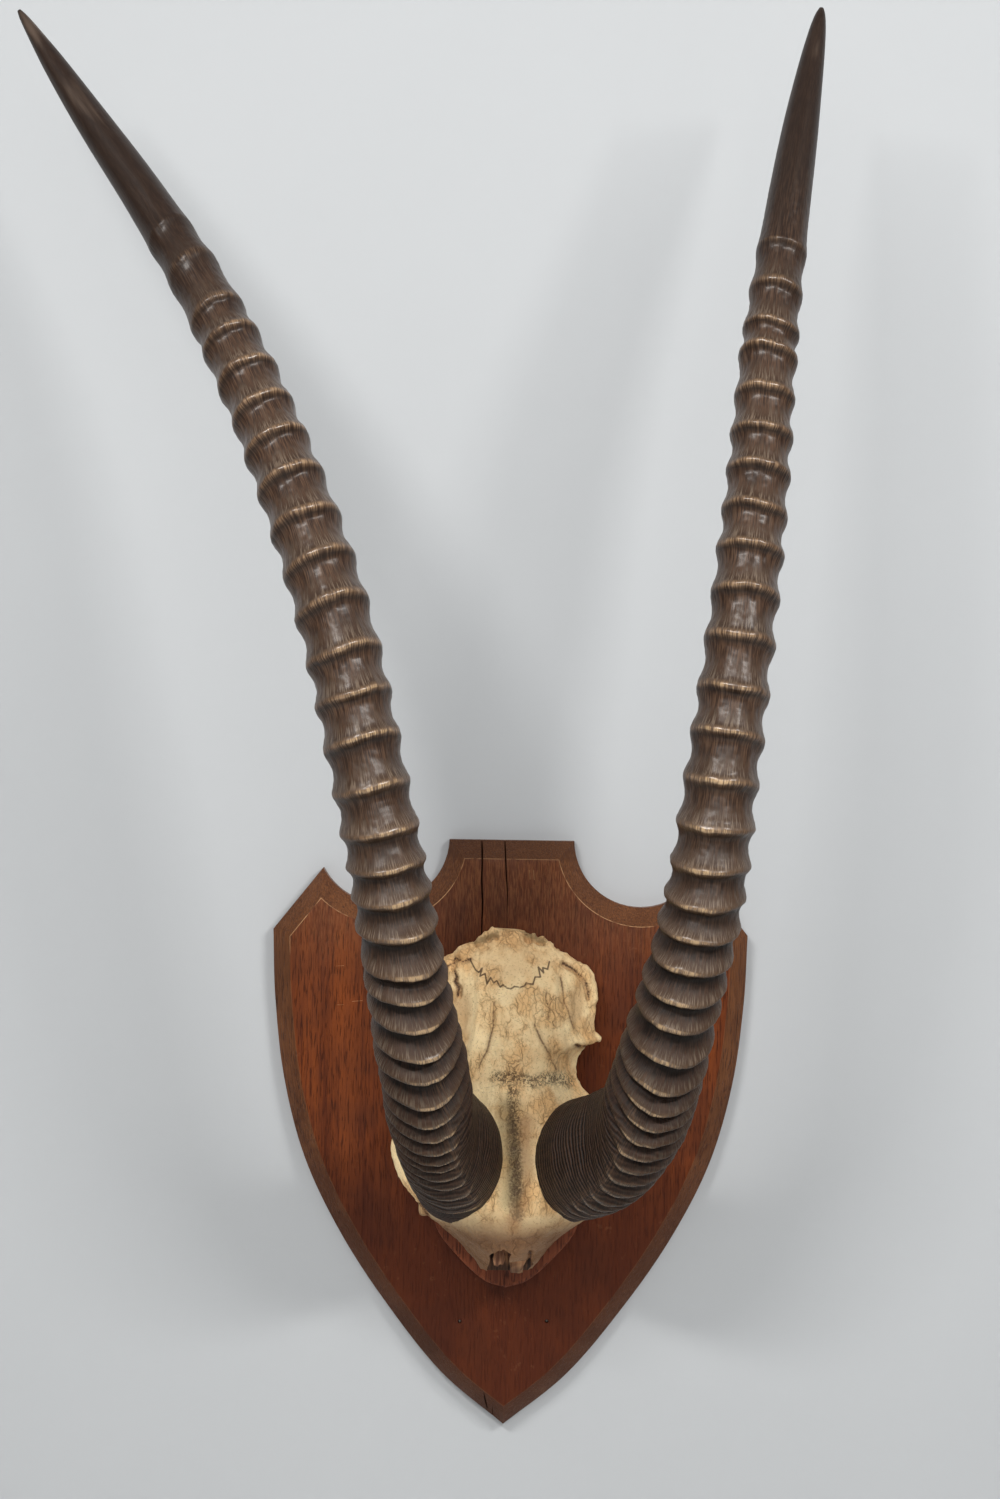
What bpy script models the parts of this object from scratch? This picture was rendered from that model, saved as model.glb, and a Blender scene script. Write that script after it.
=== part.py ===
"""Two long ringed antelope horns on their skull cap, screwed to a wooden shield.

The shield's flat back lies at y = 0, and everything stands out of it towards -Y.
Left and right are as seen from the front, Z is up, and the origin is the middle of the
shield's back. Lengths are metres. Outlines and routes are lists of millimetres.
"""
import math

import bmesh
import bpy
from mathutils import Matrix, Vector

MM = 0.001
GAP = 0.3 * MM

# Shield: a board with a wide bevel round its front face
SHIELD_THICK = 22 * MM
SHIELD_TOP = 203 * MM
BEVEL_WIDTH = 12.5 * MM
EDGE_THICK = 9.5 * MM
SCOOP_CENTRE = Vector((90 * MM, 204 * MM))
SCOOP_RADIUS = 46.5 * MM
EAR_PEAK = Vector((131 * MM, 182 * MM))
EAR_CORNER = Vector((165 * MM, 139 * MM))
SIDE_MM = [(165, 139), (163, 92), (156, 36), (141, -19), (116, -70), (84, -118), (44, -167), (0, -203)]

# Old damage in the board: two cracks running down from the top, and two nail holes
CRACKS_MM = [[(-21.3, 205), (-20, 205), (-20.5, 146)], [(-5.6, 205), (-4.9, 205), (-5.2, 156)]]
CRACK_DEPTH = 14 * MM
NAIL_HOLES_MM = [(-31, -129), (29, -128)]
NAIL_HOLE_RADIUS = 1.2 * MM
NAIL_HOLE_DEPTH = 4 * MM

# Block between the shield and the skull, right half of its outline from the top to the bottom
BLOCK_THICK = 18 * MM
BLOCK_RIM = 1.5 * MM
BLOCK_MM = [(0, 108), (30, 104), (38, 84), (38, 40), (50, 8), (53, -30), (48, -60), (32, -81), (15, -96), (0, -101)]

# Skull cap: each row is one cross-section, from the nape at the top to the broken nasal end.
# Height, half width of the flat underside, half width of the rim, then the rim's,
# the shoulder's and the crown's distance out from the underside
SKULL_BACK = SHIELD_THICK + BLOCK_THICK + 2 * GAP
SKULL_MM = [
    (145, 9, 13, 10, 13, 15),
    (138, 18, 25, 11, 17, 20),
    (127, 30, 37, 11, 23, 28),
    (119, 42, 53, 7, 26, 32),
    (110, 45, 57, 8, 29, 36),
    (94, 46, 58, 9, 33, 40),
    (77, 45, 58, 8, 37, 45),
    (70, 44, 62, 7, 38, 47),
    (62, 40, 48, 8, 40, 49),
    (46, 38, 46, 13, 44, 54),
    (28, 42, 60, 26, 50, 60),
    (8, 46, 76, 34, 56, 65),
    (-14, 46, 75, 34, 60, 69),
    (-34, 44, 62, 32, 61, 69),
    (-44, 41, 56, 28, 58, 67),
    (-52, 34, 45, 26, 55, 64),
    (-66, 24, 30, 24, 46, 55),
    (-81, 14, 18, 22, 37, 45),
]
SHOULDER_SHARE = 0.62
SKULL_SIDES = 10
SKULL_FRONT = SKULL_BACK + 62 * MM
NASAL_BREAKS_MM = [
    ([(-13, -90), (-12, -70), (-9, -64), (-3, -61), (1, -63), (2, -72), (3, -90)], 40),
    ([(3, -90), (3, -69), (13, -70), (13, -90)], 16),
    ([(13, -90), (13, -76), (15, -71), (17, -76), (18, -90)], 34),
]

# Horns: routes along their middles from inside the skull to the tip
LEFT_ROUTE_MM = [
    (-30, -62, -17), (-33, -88, -5), (-38, -125, 14), (-46, -162, 41), (-55, -192, 81),
    (-65, -216, 136), (-76, -230, 198), (-90, -237, 265), (-105, -238, 330), (-128, -229, 400),
    (-160, -208, 476), (-195, -183, 543), (-235, -160, 605), (-280, -139, 669), (-327, -121, 738),
]
RIGHT_ROUTE_MM = [
    (33, -62, -11), (46, -88, -4), (61, -118, 8), (78, -147, 30), (92, -173, 69),
    (104, -195, 122), (116, -210, 181), (123, -218, 244), (130, -221, 305), (137, -220, 368),
    (144, -213, 436), (150, -204, 509), (160, -188, 583), (173, -164, 661), (188, -140, 741),
]
INSIDE_SKULL = 28 * MM
SHEATH_DEPTH = 9 * MM
INNER_END_SHARE = 0.3
LEFT_WIDTH_MM = [
    (0, 66), (0.05, 62), (0.1, 55.5), (0.2, 48), (0.3, 44.5), (0.4, 43), (0.5, 42), (0.6, 38.5),
    (0.7, 34.5), (0.8, 28.5), (0.88, 23), (0.94, 15.5), (0.975, 9), (1, 1.4),
]
RIGHT_WIDTH_MM = [
    (0, 66), (0.05, 63), (0.1, 58), (0.2, 49), (0.3, 46), (0.4, 42), (0.5, 39), (0.6, 36.5),
    (0.7, 33), (0.8, 28), (0.88, 23.5), (0.94, 17), (0.975, 11.5), (1, 1.6),
]
HORN_DEPTH_RATIO = [(0, 1.24), (0.2, 1.2), (0.6, 1.15), (1, 1)]
HORN_SIDES = 14

# Rings: the length from one crest to the next, at that distance from the skull
RING_GAP_MM = [(0, 7), (60, 9.5), (110, 12), (170, 16), (240, 20.5), (310, 27), (430, 27.5), (560, 25), (720, 30)]
FIRST_RING = 8 * MM
LAST_RING_SHARE = 0.79
RING_HEIGHT_MM = [(0, 0.7), (50, 1.5), (110, 2.8), (180, 3.4), (520, 3.2), (720, 1.8)]
CREST_SHARE = 0.6
RING_STEPS = (0, 0.3, 0.65)
FINE_RING_STEPS = (0, 0.5)
FINE_RING_GAP = 14 * MM
SMOOTH_TIP_STEPS = 7

# Fixings, all behind: a keyhole plate let into the board, and two long screws into the bone
PLATE_HEIGHT = 40 * MM
PLATE_WIDTH = 16 * MM
PLATE_THICK = 2 * MM
PLATE_Z = 140 * MM
PLATE_SCREW_OFFSET = 15 * MM
KEYHOLE_RADIUS = 4.6 * MM
KEYHOLE_DROP = 5 * MM
KEYHOLE_SLOT_WIDTH = 4.5 * MM
KEYHOLE_SLOT_TOP = 8 * MM
POCKET_DEPTH = 11 * MM
POCKET_HALF = (5.5 * MM, 10.5 * MM)
PLATE_SCREW = dict(head=3 * MM, shank=1.4 * MM, length=12 * MM, sunk=0.2 * MM)
SKULL_SCREW = dict(head=4.5 * MM, shank=2.2 * MM, length=62 * MM, sunk=1 * MM)
SKULL_SCREW_HEIGHTS = (62 * MM, -34 * MM)
SCREW_SLOT = 0.9 * MM
ROUND_SIDES = 12


def clear_scene():
    for item in list(bpy.data.objects):
        bpy.data.objects.remove(item, do_unlink=True)


def make_material(name, colour, roughness, metallic=0.0):
    material = bpy.data.materials.new(name)
    material.use_nodes = True
    shader = material.node_tree.nodes["Principled BSDF"]
    shader.inputs["Base Color"].default_value = (*colour, 1)
    shader.inputs["Roughness"].default_value = roughness
    shader.inputs["Metallic"].default_value = metallic
    return material


def add_object(name, bm, material, smooth_angle=None):
    """Makes an object of a bmesh, whose normals are turned outwards first."""
    bmesh.ops.recalc_face_normals(bm, faces=bm.faces)
    mesh = bpy.data.meshes.new(name)
    bm.to_mesh(mesh)
    bm.free()
    if smooth_angle:
        mesh.shade_smooth()
        mesh.set_sharp_from_angle(angle=math.radians(smooth_angle))
    thing = bpy.data.objects.new(name, mesh)
    bpy.context.scene.collection.objects.link(thing)
    if material:
        mesh.materials.append(material)
    return thing


def cut(thing, bm):
    """Takes the shape in the bmesh away from the object."""
    cutter = add_object(thing.name + "_cutter", bm, None)
    cutter.hide_render = True
    cutter.display_type = "WIRE"
    boolean = thing.modifiers.new("cut", "BOOLEAN")
    boolean.operation = "DIFFERENCE"
    boolean.solver = "EXACT"
    boolean.object = cutter


def curve_through(points, steps):
    """Points on one smooth curve through the given ones, with so many steps in each span."""
    points = [Vector(point) for point in points]
    padded = [points[0] * 2 - points[1], *points, points[-1] * 2 - points[-2]]
    curve = []
    for a, b, c, d in zip(padded, padded[1:], padded[2:], padded[3:]):
        for step in range(steps):
            t = step / steps
            bend = (a * 2 - b * 5 + c * 4 - d) * t ** 2 + (b * 3 - a - c * 3 + d) * t ** 3
            curve.append((b * 2 + (c - a) * t + bend) / 2)
    curve.append(points[-1])
    return curve


def read_rows(rows, t):
    """The values after the first in each row, taken at t between the rows."""
    for low, high in zip(rows, rows[1:]):
        if t <= high[0]:
            share = (t - low[0]) / (high[0] - low[0])
            return [a + (b - a) * share for a, b in zip(low[1:], high[1:])]
    return list(rows[-1][1:])


def add_loop(bm, points):
    verts = [bm.verts.new(point) for point in points]
    return [bm.edges.new(pair) for pair in zip(verts, verts[1:] + verts[:1])]


def loft(loops):
    """A closed body with a skin from each loop of points to the next and both ends filled."""
    bm = bmesh.new()
    edges = [add_loop(bm, points) for points in loops]
    for lower, upper in zip(edges, edges[1:]):
        bmesh.ops.bridge_loops(bm, edges=lower + upper)
    for end in (edges[0], edges[-1]):
        bmesh.ops.edgeloop_fill(bm, edges=end)
    return bm


def add_box(bm, low, high):
    made = bmesh.ops.create_cube(bm, size=1)
    size = Vector(high) - Vector(low)
    place = Matrix.Translation((Vector(high) + Vector(low)) / 2) @ Matrix.Diagonal((*size, 1))
    bmesh.ops.transform(bm, matrix=place, verts=made["verts"])


def prism(outline_mm, far_out, near_out):
    """An outline seen from the front, made solid between two distances out from the back."""
    return loft([[(x * MM, -out, z * MM) for x, z in outline_mm] for out in (near_out, far_out)])


def add_turned(bm, x, z, profile):
    """A turned body on an axis square to the board, from (radius, distance out) pairs."""
    for (r0, y0), (r1, y1) in zip(profile, profile[1:]):
        if y1 == y0:
            continue
        made = bmesh.ops.create_cone(bm, cap_ends=False, segments=ROUND_SIDES, radius1=r0, radius2=r1, depth=y1 - y0)
        place = Matrix.Translation((x, -(y0 + y1) / 2, z)) @ Matrix.Rotation(math.radians(90), 4, "X")
        bmesh.ops.transform(bm, matrix=place, verts=made["verts"])
    bmesh.ops.remove_doubles(bm, verts=bm.verts, dist=0.01 * MM)
    bmesh.ops.holes_fill(bm, edges=[edge for edge in bm.edges if edge.is_boundary])


# Shield
def scoop_meets_ear(radius, inset):
    """Where the scoop's circle crosses the ear's straight edge, both moved in by the inset."""
    along = (EAR_CORNER - EAR_PEAK).normalized()
    inward = Vector((along.y, -along.x))
    start = EAR_PEAK + inward * inset - SCOOP_CENTRE
    back = start.dot(along)
    reach = math.sqrt(back ** 2 - start.length_squared + radius ** 2)
    return SCOOP_CENTRE + start + along * (reach - back)


def side_curve(inset):
    """The right side moved in, from the ear's straight edge to the middle line."""
    curve = curve_through([Vector(point) * MM for point in SIDE_MM], 3)
    along = (EAR_CORNER - EAR_PEAK).normalized()
    moved = []
    for index, point in enumerate(curve):
        run = curve[min(index + 1, len(curve) - 1)] - curve[max(index - 1, 0)]
        moved.append(point + Vector((run.y, -run.x)).normalized() * inset)
    if not inset:
        return curve
    edge = EAR_PEAK + Vector((along.y, -along.x)) * inset
    kept = [point for point in moved if along.cross(point - edge) < 0 and point.x > 0]
    top = kept[0].x - edge.x
    first = Vector((kept[0].x, edge.y + along.y / along.x * top))
    slope = (kept[-1].y - kept[-2].y) / (kept[-1].x - kept[-2].x)
    last = Vector((0, kept[-1].y - slope * kept[-1].x))
    return resample([first, *kept, last], len(curve))


def resample(points, count):
    """The same line with so many points at even distances."""
    lengths = [0.0]
    for a, b in zip(points, points[1:]):
        lengths.append(lengths[-1] + (b - a).length)
    rows = [(length, *point) for length, point in zip(lengths, points)]
    return [Vector(read_rows(rows, lengths[-1] * i / (count - 1))) for i in range(count)]


def shield_outline(inset, out):
    """The board's outline at one distance out from its back, clockwise from the top's middle."""
    radius = SCOOP_RADIUS + inset
    top = SHIELD_TOP - inset
    reach = math.sqrt(radius ** 2 - (top - SCOOP_CENTRE.y) ** 2)
    start = Vector((SCOOP_CENTRE.x - reach, top)) - SCOOP_CENTRE
    end = scoop_meets_ear(radius, inset) - SCOOP_CENTRE
    first = math.atan2(start.y, start.x) % math.tau
    last = math.atan2(end.y, end.x) % math.tau
    steps = 12
    right = [Vector((0, top))]
    for step in range(steps + 1):
        angle = first + (last - first) * step / steps
        right.append(SCOOP_CENTRE + Vector((math.cos(angle), math.sin(angle))) * radius)
    right += side_curve(inset)
    left = [Vector((-point.x, point.y)) for point in reversed(right[1:-1])]
    return [(point.x, -out, point.y) for point in right + left]


def build_shield(material):
    loops = [
        shield_outline(0, 0),
        shield_outline(0, EDGE_THICK),
        shield_outline(BEVEL_WIDTH, SHIELD_THICK),
    ]
    shield = add_object("shield", loft(loops), material)
    recess = bmesh.new()
    low = (-PLATE_WIDTH / 2 - GAP, -PLATE_THICK - GAP, PLATE_Z - PLATE_HEIGHT / 2 - GAP)
    high = (PLATE_WIDTH / 2 + GAP, MM, PLATE_Z + PLATE_HEIGHT / 2 + GAP)
    add_box(recess, low, high)
    cut(shield, recess)
    pocket = bmesh.new()
    half_width, half_height = POCKET_HALF
    add_box(pocket, (-half_width, -POCKET_DEPTH, PLATE_Z - half_height), (half_width, 0, PLATE_Z + half_height))
    cut(shield, pocket)
    for x, z, screw in screw_places():
        cut(shield, screw_hole(x, z, screw))
    for crack in CRACKS_MM:
        cut(shield, prism(crack, SHIELD_THICK + MM, SHIELD_THICK - CRACK_DEPTH))
    for x, z in NAIL_HOLES_MM:
        hole = bmesh.new()
        ends = (SHIELD_THICK - NAIL_HOLE_DEPTH, SHIELD_THICK + MM)
        add_turned(hole, x * MM, z * MM, [(NAIL_HOLE_RADIUS, end) for end in ends])
        cut(shield, hole)
    return shield


# Block
def build_block(material):
    right = curve_through([Vector(point) * MM for point in BLOCK_MM], 2)
    outline = right + [Vector((-point.x, point.y)) for point in reversed(right[1:-1])]
    front = SHIELD_THICK + GAP + BLOCK_THICK
    loops = []
    for out, shrink in ((SHIELD_THICK + GAP, 1), (front - BLOCK_RIM, 1), (front, 1 - BLOCK_RIM / (50 * MM))):
        loops.append([(point.x * shrink, -out, point.y * shrink) for point in outline])
    block = add_object("backing_block", loft(loops), material)
    for height in SKULL_SCREW_HEIGHTS:
        cut(block, screw_hole(0, height, SKULL_SCREW))
    return block


# Skull cap
def skull_section(row, grow):
    """One cross-section of the skull cap, all round, from the right end of its underside."""
    height, base, rim, rim_out, shoulder_out, crown_out = [value * MM for value in row]
    shoulder = rim * SHOULDER_SHARE
    half = [(base, 0), (rim, rim_out), (shoulder, shoulder_out), (0, crown_out)]
    half = half + [(-x, out) for x, out in reversed(half[:-1])]
    curve = resample(curve_through([Vector(point) for point in half], 4), SKULL_SIDES * 2 + 1)
    points = []
    for point in curve:
        side = math.copysign(grow, point.x) if abs(point.x) > grow else 0
        points.append((point.x + side, -SKULL_BACK - point.y - grow, height))
    return points


def skull_body(grow):
    """The skull cap, grown by a little where it is used to cut the horns off on it."""
    rows = curve_through([Vector(row) for row in SKULL_MM], 2)
    bm = loft([skull_section(row, grow) for row in rows])
    bmesh.ops.triangulate(bm, faces=bm.faces, quad_method="FIXED")
    return bm


def build_skull(material):
    skull = add_object("skull", skull_body(0), material, 50)
    for outline, depth in NASAL_BREAKS_MM:
        cut(skull, prism(outline, SKULL_FRONT, SKULL_FRONT - depth * MM))
    for height in SKULL_SCREW_HEIGHTS:
        cut(skull, screw_hole(0, height, SKULL_SCREW))
    return skull


# Horns
def ring_crests(length):
    """Distances from the skull to each ring's crest."""
    crests = []
    place = FIRST_RING
    while place < length * LAST_RING_SHARE:
        crests.append(place)
        place += read_rows(RING_GAP_MM, place / MM)[0] * MM
    return crests


def ring_stations(length):
    """Distances along the horn where a section stands, each with how far its ring rises."""
    crests = ring_crests(length)
    stations = [(-INSIDE_SKULL, 0.0), (-SHEATH_DEPTH, 0.0), (0.0, 0.0)]
    for crest, after in zip(crests, crests[1:]):
        steps = FINE_RING_STEPS if after - crest < FINE_RING_GAP else RING_STEPS
        height = read_rows(RING_HEIGHT_MM, crest / MM)[0] * MM
        for step in steps:
            wave = math.cos(math.tau * step) / 2 + CREST_SHARE - 0.5
            stations.append((crest + (after - crest) * step, height * wave))
    last = crests[-1]
    stations.append((last, 0.6 * MM))
    for step in range(1, SMOOTH_TIP_STEPS + 1):
        share = step / SMOOTH_TIP_STEPS
        stations.append((last + (length - last) * (1 - (1 - share) ** 1.5), 0.0))
    return stations


def horn_body(route_mm, widths_mm):
    route = curve_through([Vector(point) * MM for point in route_mm], 8)
    lengths = [-INSIDE_SKULL]
    for a, b in zip(route, route[1:]):
        lengths.append(lengths[-1] + (b - a).length)
    rows = [(length, *point) for length, point in zip(lengths, route)]
    length = lengths[-1]
    loops = []
    for place, rise in ring_stations(length):
        centre = Vector(read_rows(rows, place))
        ahead = Vector(read_rows(rows, min(place + 4 * MM, length)))
        behind = Vector(read_rows(rows, max(place - 4 * MM, -INSIDE_SKULL)))
        along = (ahead - behind).normalized()
        across = (Vector((1, 0, 0)) - along * along.x).normalized()
        forward = across.cross(along)
        share = max(place, 0) / length
        width = read_rows(widths_mm, share)[0] * MM / 2
        if place == -INSIDE_SKULL:
            width *= INNER_END_SHARE
        depth = width * read_rows(HORN_DEPTH_RATIO, share)[0]
        loop = []
        for side in range(HORN_SIDES):
            angle = -math.tau * side / HORN_SIDES
            lift = rise * (0.8 + 0.2 * math.sin(angle))
            sideways = across * (width + lift) * math.cos(angle)
            loop.append(centre + sideways + forward * (depth + lift) * math.sin(angle))
        loops.append(loop)
    return loft(loops)


def build_horn(name, route_mm, widths_mm, material):
    horn = add_object(name, horn_body(route_mm, widths_mm), material, 40)
    cut(horn, skull_body(1.2 * GAP))
    return horn


# Fixings
def screw_places():
    """Each screw's place across and up, with its sizes."""
    places = [(0, PLATE_Z + PLATE_SCREW_OFFSET * way, PLATE_SCREW) for way in (1, -1)]
    return places + [(0, height, SKULL_SCREW) for height in SKULL_SCREW_HEIGHTS]


def screw_profile(screw, grow):
    """A countersunk screw's half profile, from the flat of its head to its end."""
    top = screw["sunk"]
    head = screw["head"] + grow
    shank = screw["shank"] + grow
    neck = top + (screw["head"] - screw["shank"])
    end = screw["length"] + grow
    tip = shank * 0.35
    point = end - screw["shank"] * 1.6
    return [(head, top), (shank, neck), (shank, point), (tip, end)]


def screw_hole(x, z, screw):
    """The hole for a screw, open at the board's back."""
    bm = bmesh.new()
    add_turned(bm, x, z, [(screw["head"] + GAP, -MM), *screw_profile(screw, GAP)])
    return bm


def build_screw(name, x, z, screw, material):
    bm = bmesh.new()
    add_turned(bm, x, z, screw_profile(screw, 0))
    thing = add_object(name, bm, material, 35)
    slot = bmesh.new()
    reach = screw["head"] * 1.5
    top = screw["sunk"]
    depth = screw["head"] * 0.25
    add_box(slot, (x - reach, -top - depth, z - SCREW_SLOT / 2), (x + reach, -top + MM, z + SCREW_SLOT / 2))
    cut(thing, slot)
    return thing


def build_hanger(material):
    bm = bmesh.new()
    low = (-PLATE_WIDTH / 2, -PLATE_THICK, PLATE_Z - PLATE_HEIGHT / 2)
    add_box(bm, low, (PLATE_WIDTH / 2, 0, PLATE_Z + PLATE_HEIGHT / 2))
    plate = add_object("hanger_plate", bm, material)
    hole = bmesh.new()
    add_turned(hole, 0, PLATE_Z - KEYHOLE_DROP, [(KEYHOLE_RADIUS, -MM), (KEYHOLE_RADIUS, PLATE_THICK + MM)])
    cut(plate, hole)
    slot = bmesh.new()
    half = KEYHOLE_SLOT_WIDTH / 2
    add_box(slot, (-half, -PLATE_THICK - MM, PLATE_Z - KEYHOLE_DROP), (half, MM, PLATE_Z + KEYHOLE_SLOT_TOP))
    cut(plate, slot)
    for way in (1, -1):
        cut(plate, screw_hole(0, PLATE_Z + PLATE_SCREW_OFFSET * way, PLATE_SCREW))
    return plate


clear_scene()
board_wood = make_material("dark_stained_wood", (0.14, 0.042, 0.017), 0.42)
block_wood = make_material("reddish_wood", (0.22, 0.07, 0.03), 0.55)
bone = make_material("aged_bone", (0.62, 0.5, 0.33), 0.6)
keratin = make_material("horn_keratin", (0.07, 0.052, 0.042), 0.42)
brass = make_material("aged_brass", (0.55, 0.38, 0.16), 0.4, 1)
steel = make_material("dull_steel", (0.42, 0.4, 0.37), 0.45, 1)

build_shield(board_wood)
build_block(block_wood)
build_skull(bone)
build_horn("left_horn", LEFT_ROUTE_MM, LEFT_WIDTH_MM, keratin)
build_horn("right_horn", RIGHT_ROUTE_MM, RIGHT_WIDTH_MM, keratin)
build_hanger(brass)
for number, (x, z, screw) in enumerate(screw_places()):
    kind = "hanger_screw" if screw is PLATE_SCREW else "skull_screw"
    end = "upper" if number % 2 == 0 else "lower"
    build_screw(kind + "_" + end, x, z, screw, brass if screw is PLATE_SCREW else steel)
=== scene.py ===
import math

import bmesh
import bpy
import numpy as np
from mathutils import Matrix, Vector, noise


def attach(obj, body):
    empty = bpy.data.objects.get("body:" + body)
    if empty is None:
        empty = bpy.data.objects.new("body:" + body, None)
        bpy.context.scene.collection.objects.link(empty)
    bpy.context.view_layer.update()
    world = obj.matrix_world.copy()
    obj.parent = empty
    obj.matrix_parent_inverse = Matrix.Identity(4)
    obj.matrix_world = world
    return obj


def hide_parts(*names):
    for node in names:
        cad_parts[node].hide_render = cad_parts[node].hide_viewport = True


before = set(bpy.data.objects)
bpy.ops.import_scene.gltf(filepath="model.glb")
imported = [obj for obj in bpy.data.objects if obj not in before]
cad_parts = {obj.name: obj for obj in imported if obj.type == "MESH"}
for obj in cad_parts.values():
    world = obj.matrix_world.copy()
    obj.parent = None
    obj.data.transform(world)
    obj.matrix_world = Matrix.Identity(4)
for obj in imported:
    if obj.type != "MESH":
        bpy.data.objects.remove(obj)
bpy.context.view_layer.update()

MM = 0.001


# Stage
# A plain pale floor below the trophy and a plain pale backdrop just behind the board. The backdrop
# can't be seen from behind and throws no shadow, so that the board's back is lit and in view.
def add_object(name, bm, materials, smooth_angle=None):
    """Makes an object of a bmesh, with its materials in order."""
    mesh = bpy.data.meshes.new(name)
    bm.to_mesh(mesh)
    bm.free()
    if smooth_angle:
        mesh.shade_smooth()
        mesh.set_sharp_from_angle(angle=math.radians(smooth_angle))
    thing = bpy.data.objects.new(name, mesh)
    bpy.context.scene.collection.objects.link(thing)
    for material in materials:
        mesh.materials.append(material)
    return thing


def set_inputs(tree, node, inputs):
    """Gives each named input of a node a value or another node's output."""
    for name, value in inputs.items():
        if isinstance(value, bpy.types.NodeSocket):
            tree.links.new(value, node.inputs[name])
        else:
            node.inputs[name].default_value = value
    return node


def add_node(tree, kind, inputs=None, **settings):
    """Adds a node, with its settings first and then its inputs."""
    node = tree.nodes.new(kind)
    for name, value in settings.items():
        setattr(node, name, value)
    return set_inputs(tree, node, inputs or {})


def maths(tree, operation, *values):
    """One step of arithmetic on values or node outputs."""
    return add_node(tree, "ShaderNodeMath", dict(enumerate(values)), operation=operation).outputs[0]


def times(tree, product, *factors):
    """Values or node outputs, all multiplied."""
    for factor in factors:
        product = maths(tree, "MULTIPLY", product, factor)
    return product


def ramp(tree, value, start, end, low=0.0, high=1.0):
    """Goes smoothly from low to high as the value goes from start to end."""
    inputs = {"Value": value, "From Min": start, "From Max": end, "To Min": low, "To Max": high}
    return add_node(tree, "ShaderNodeMapRange", inputs, interpolation_type="SMOOTHSTEP").outputs[0]


def blend_colours(tree, share, first, second):
    """The first colour where the share is 0, and the second where it is 1."""
    return add_node(tree, "ShaderNodeMix", {0: share, 6: first, 7: second}, data_type="RGBA").outputs[2]


def colour(red, green, blue):
    """A colour as it looks on screen, from 0 to 255, in the values that materials use."""
    return (*[((part / 255 + 0.055) / 1.055) ** 2.4 for part in (red, green, blue)], 1)


def object_place(tree):
    """Where each point lies on its object, in metres."""
    return add_node(tree, "ShaderNodeTexCoord").outputs["Object"]


def clouds_of(tree, place, scale, detail=2.0):
    """Soft round clouds of noise, from 0 to 1."""
    inputs = {"Vector": place, "Scale": scale, "Detail": detail}
    return add_node(tree, "ShaderNodeTexNoise", inputs).outputs[0]


def split(tree, vector):
    """A vector's three values: across, inwards and upwards."""
    return add_node(tree, "ShaderNodeSeparateXYZ", {0: vector}).outputs


def new_material(name):
    """An empty material, its node tree and its shader."""
    material = bpy.data.materials.new(name)
    material.use_nodes = True
    tree = material.node_tree
    return material, tree, tree.nodes["Principled BSDF"]


def pale_paint(name, paint):
    """A dull, faintly mottled paint."""
    material, tree, shader = new_material(name)
    darker = (*[part * 0.94 for part in paint[:3]], 1)
    mottled = blend_colours(tree, clouds_of(tree, object_place(tree), 3), darker, paint)
    set_inputs(tree, shader, {"Base Color": mottled, "Roughness": 0.9})
    return material, tree, shader


def flat_sheet(name, size, place, material):
    """A square sheet that is not a part of the object."""
    bm = bmesh.new()
    bmesh.ops.create_grid(bm, x_segments=1, y_segments=1, size=size / 2, matrix=place)
    thing = add_object(name, bm, [material])


FLOOR_HEIGHT = -450 * MM
FLOOR_SIZE = 8
BACKDROP_SIZE = 4
BACKDROP_GAP = 1 * MM
CLEAR_WITHIN = 6 * MM
floor_paint = pale_paint("pale_floor", colour(214, 214, 212))[0]
flat_sheet("floor", FLOOR_SIZE, Matrix.Translation((0, 0, FLOOR_HEIGHT)), floor_paint)

backdrop_paint, tree, shader = pale_paint("pale_backdrop", colour(188, 192, 196))
path = add_node(tree, "ShaderNodeLightPath")
beside = maths(tree, "LESS_THAN", path.outputs["Ray Length"], CLEAR_WITHIN)
behind = add_node(tree, "ShaderNodeNewGeometry").outputs["Backfacing"]
unseen = maths(tree, "MAXIMUM", maths(tree, "MAXIMUM", beside, behind), path.outputs["Is Shadow Ray"])
clear = add_node(tree, "ShaderNodeBsdfTransparent").outputs[0]
either = add_node(tree, "ShaderNodeMixShader", {0: unseen, 1: shader.outputs[0], 2: clear}).outputs[0]
set_inputs(tree, tree.nodes["Material Output"], {"Surface": either})
middle = Matrix.Translation((0, BACKDROP_GAP, FLOOR_HEIGHT + BACKDROP_SIZE / 2))
flat_sheet("backdrop", BACKDROP_SIZE, middle @ Matrix.Rotation(math.radians(90), 4, "X"), backdrop_paint)


LAMP_AIM = Vector((0, 0, 0.2))


def add_lamp(name, place, size, power, tint):
    """A rectangular lamp aimed above the skull, with its width and height in metres."""
    light = bpy.data.lights.new(name, "AREA")
    light.shape = "RECTANGLE"
    light.size, light.size_y = size
    light.energy = power
    light.color = tint
    lamp = bpy.data.objects.new(name, light)
    lamp.location = place
    lamp.rotation_euler = (LAMP_AIM - Vector(place)).to_track_quat("-Z", "Y").to_euler()
    bpy.context.scene.collection.objects.link(lamp)


add_lamp("lamp_front", (-0.1, -2.1, 0.8), (1.2, 1.2), 8, (1, 0.98, 0.95))
add_lamp("lamp_left", (-0.69, -1.5, 1.155), (0.6, 0.16), 17, (1, 0.97, 0.93))
add_lamp("lamp_right", (0.97, -1.5, 1.055), (0.6, 0.16), 19, (1, 0.97, 0.93))
add_lamp("lamp_back", (0.4, 1.9, 0.8), (1.2, 1.2), 9, (1, 0.98, 0.95))

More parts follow.
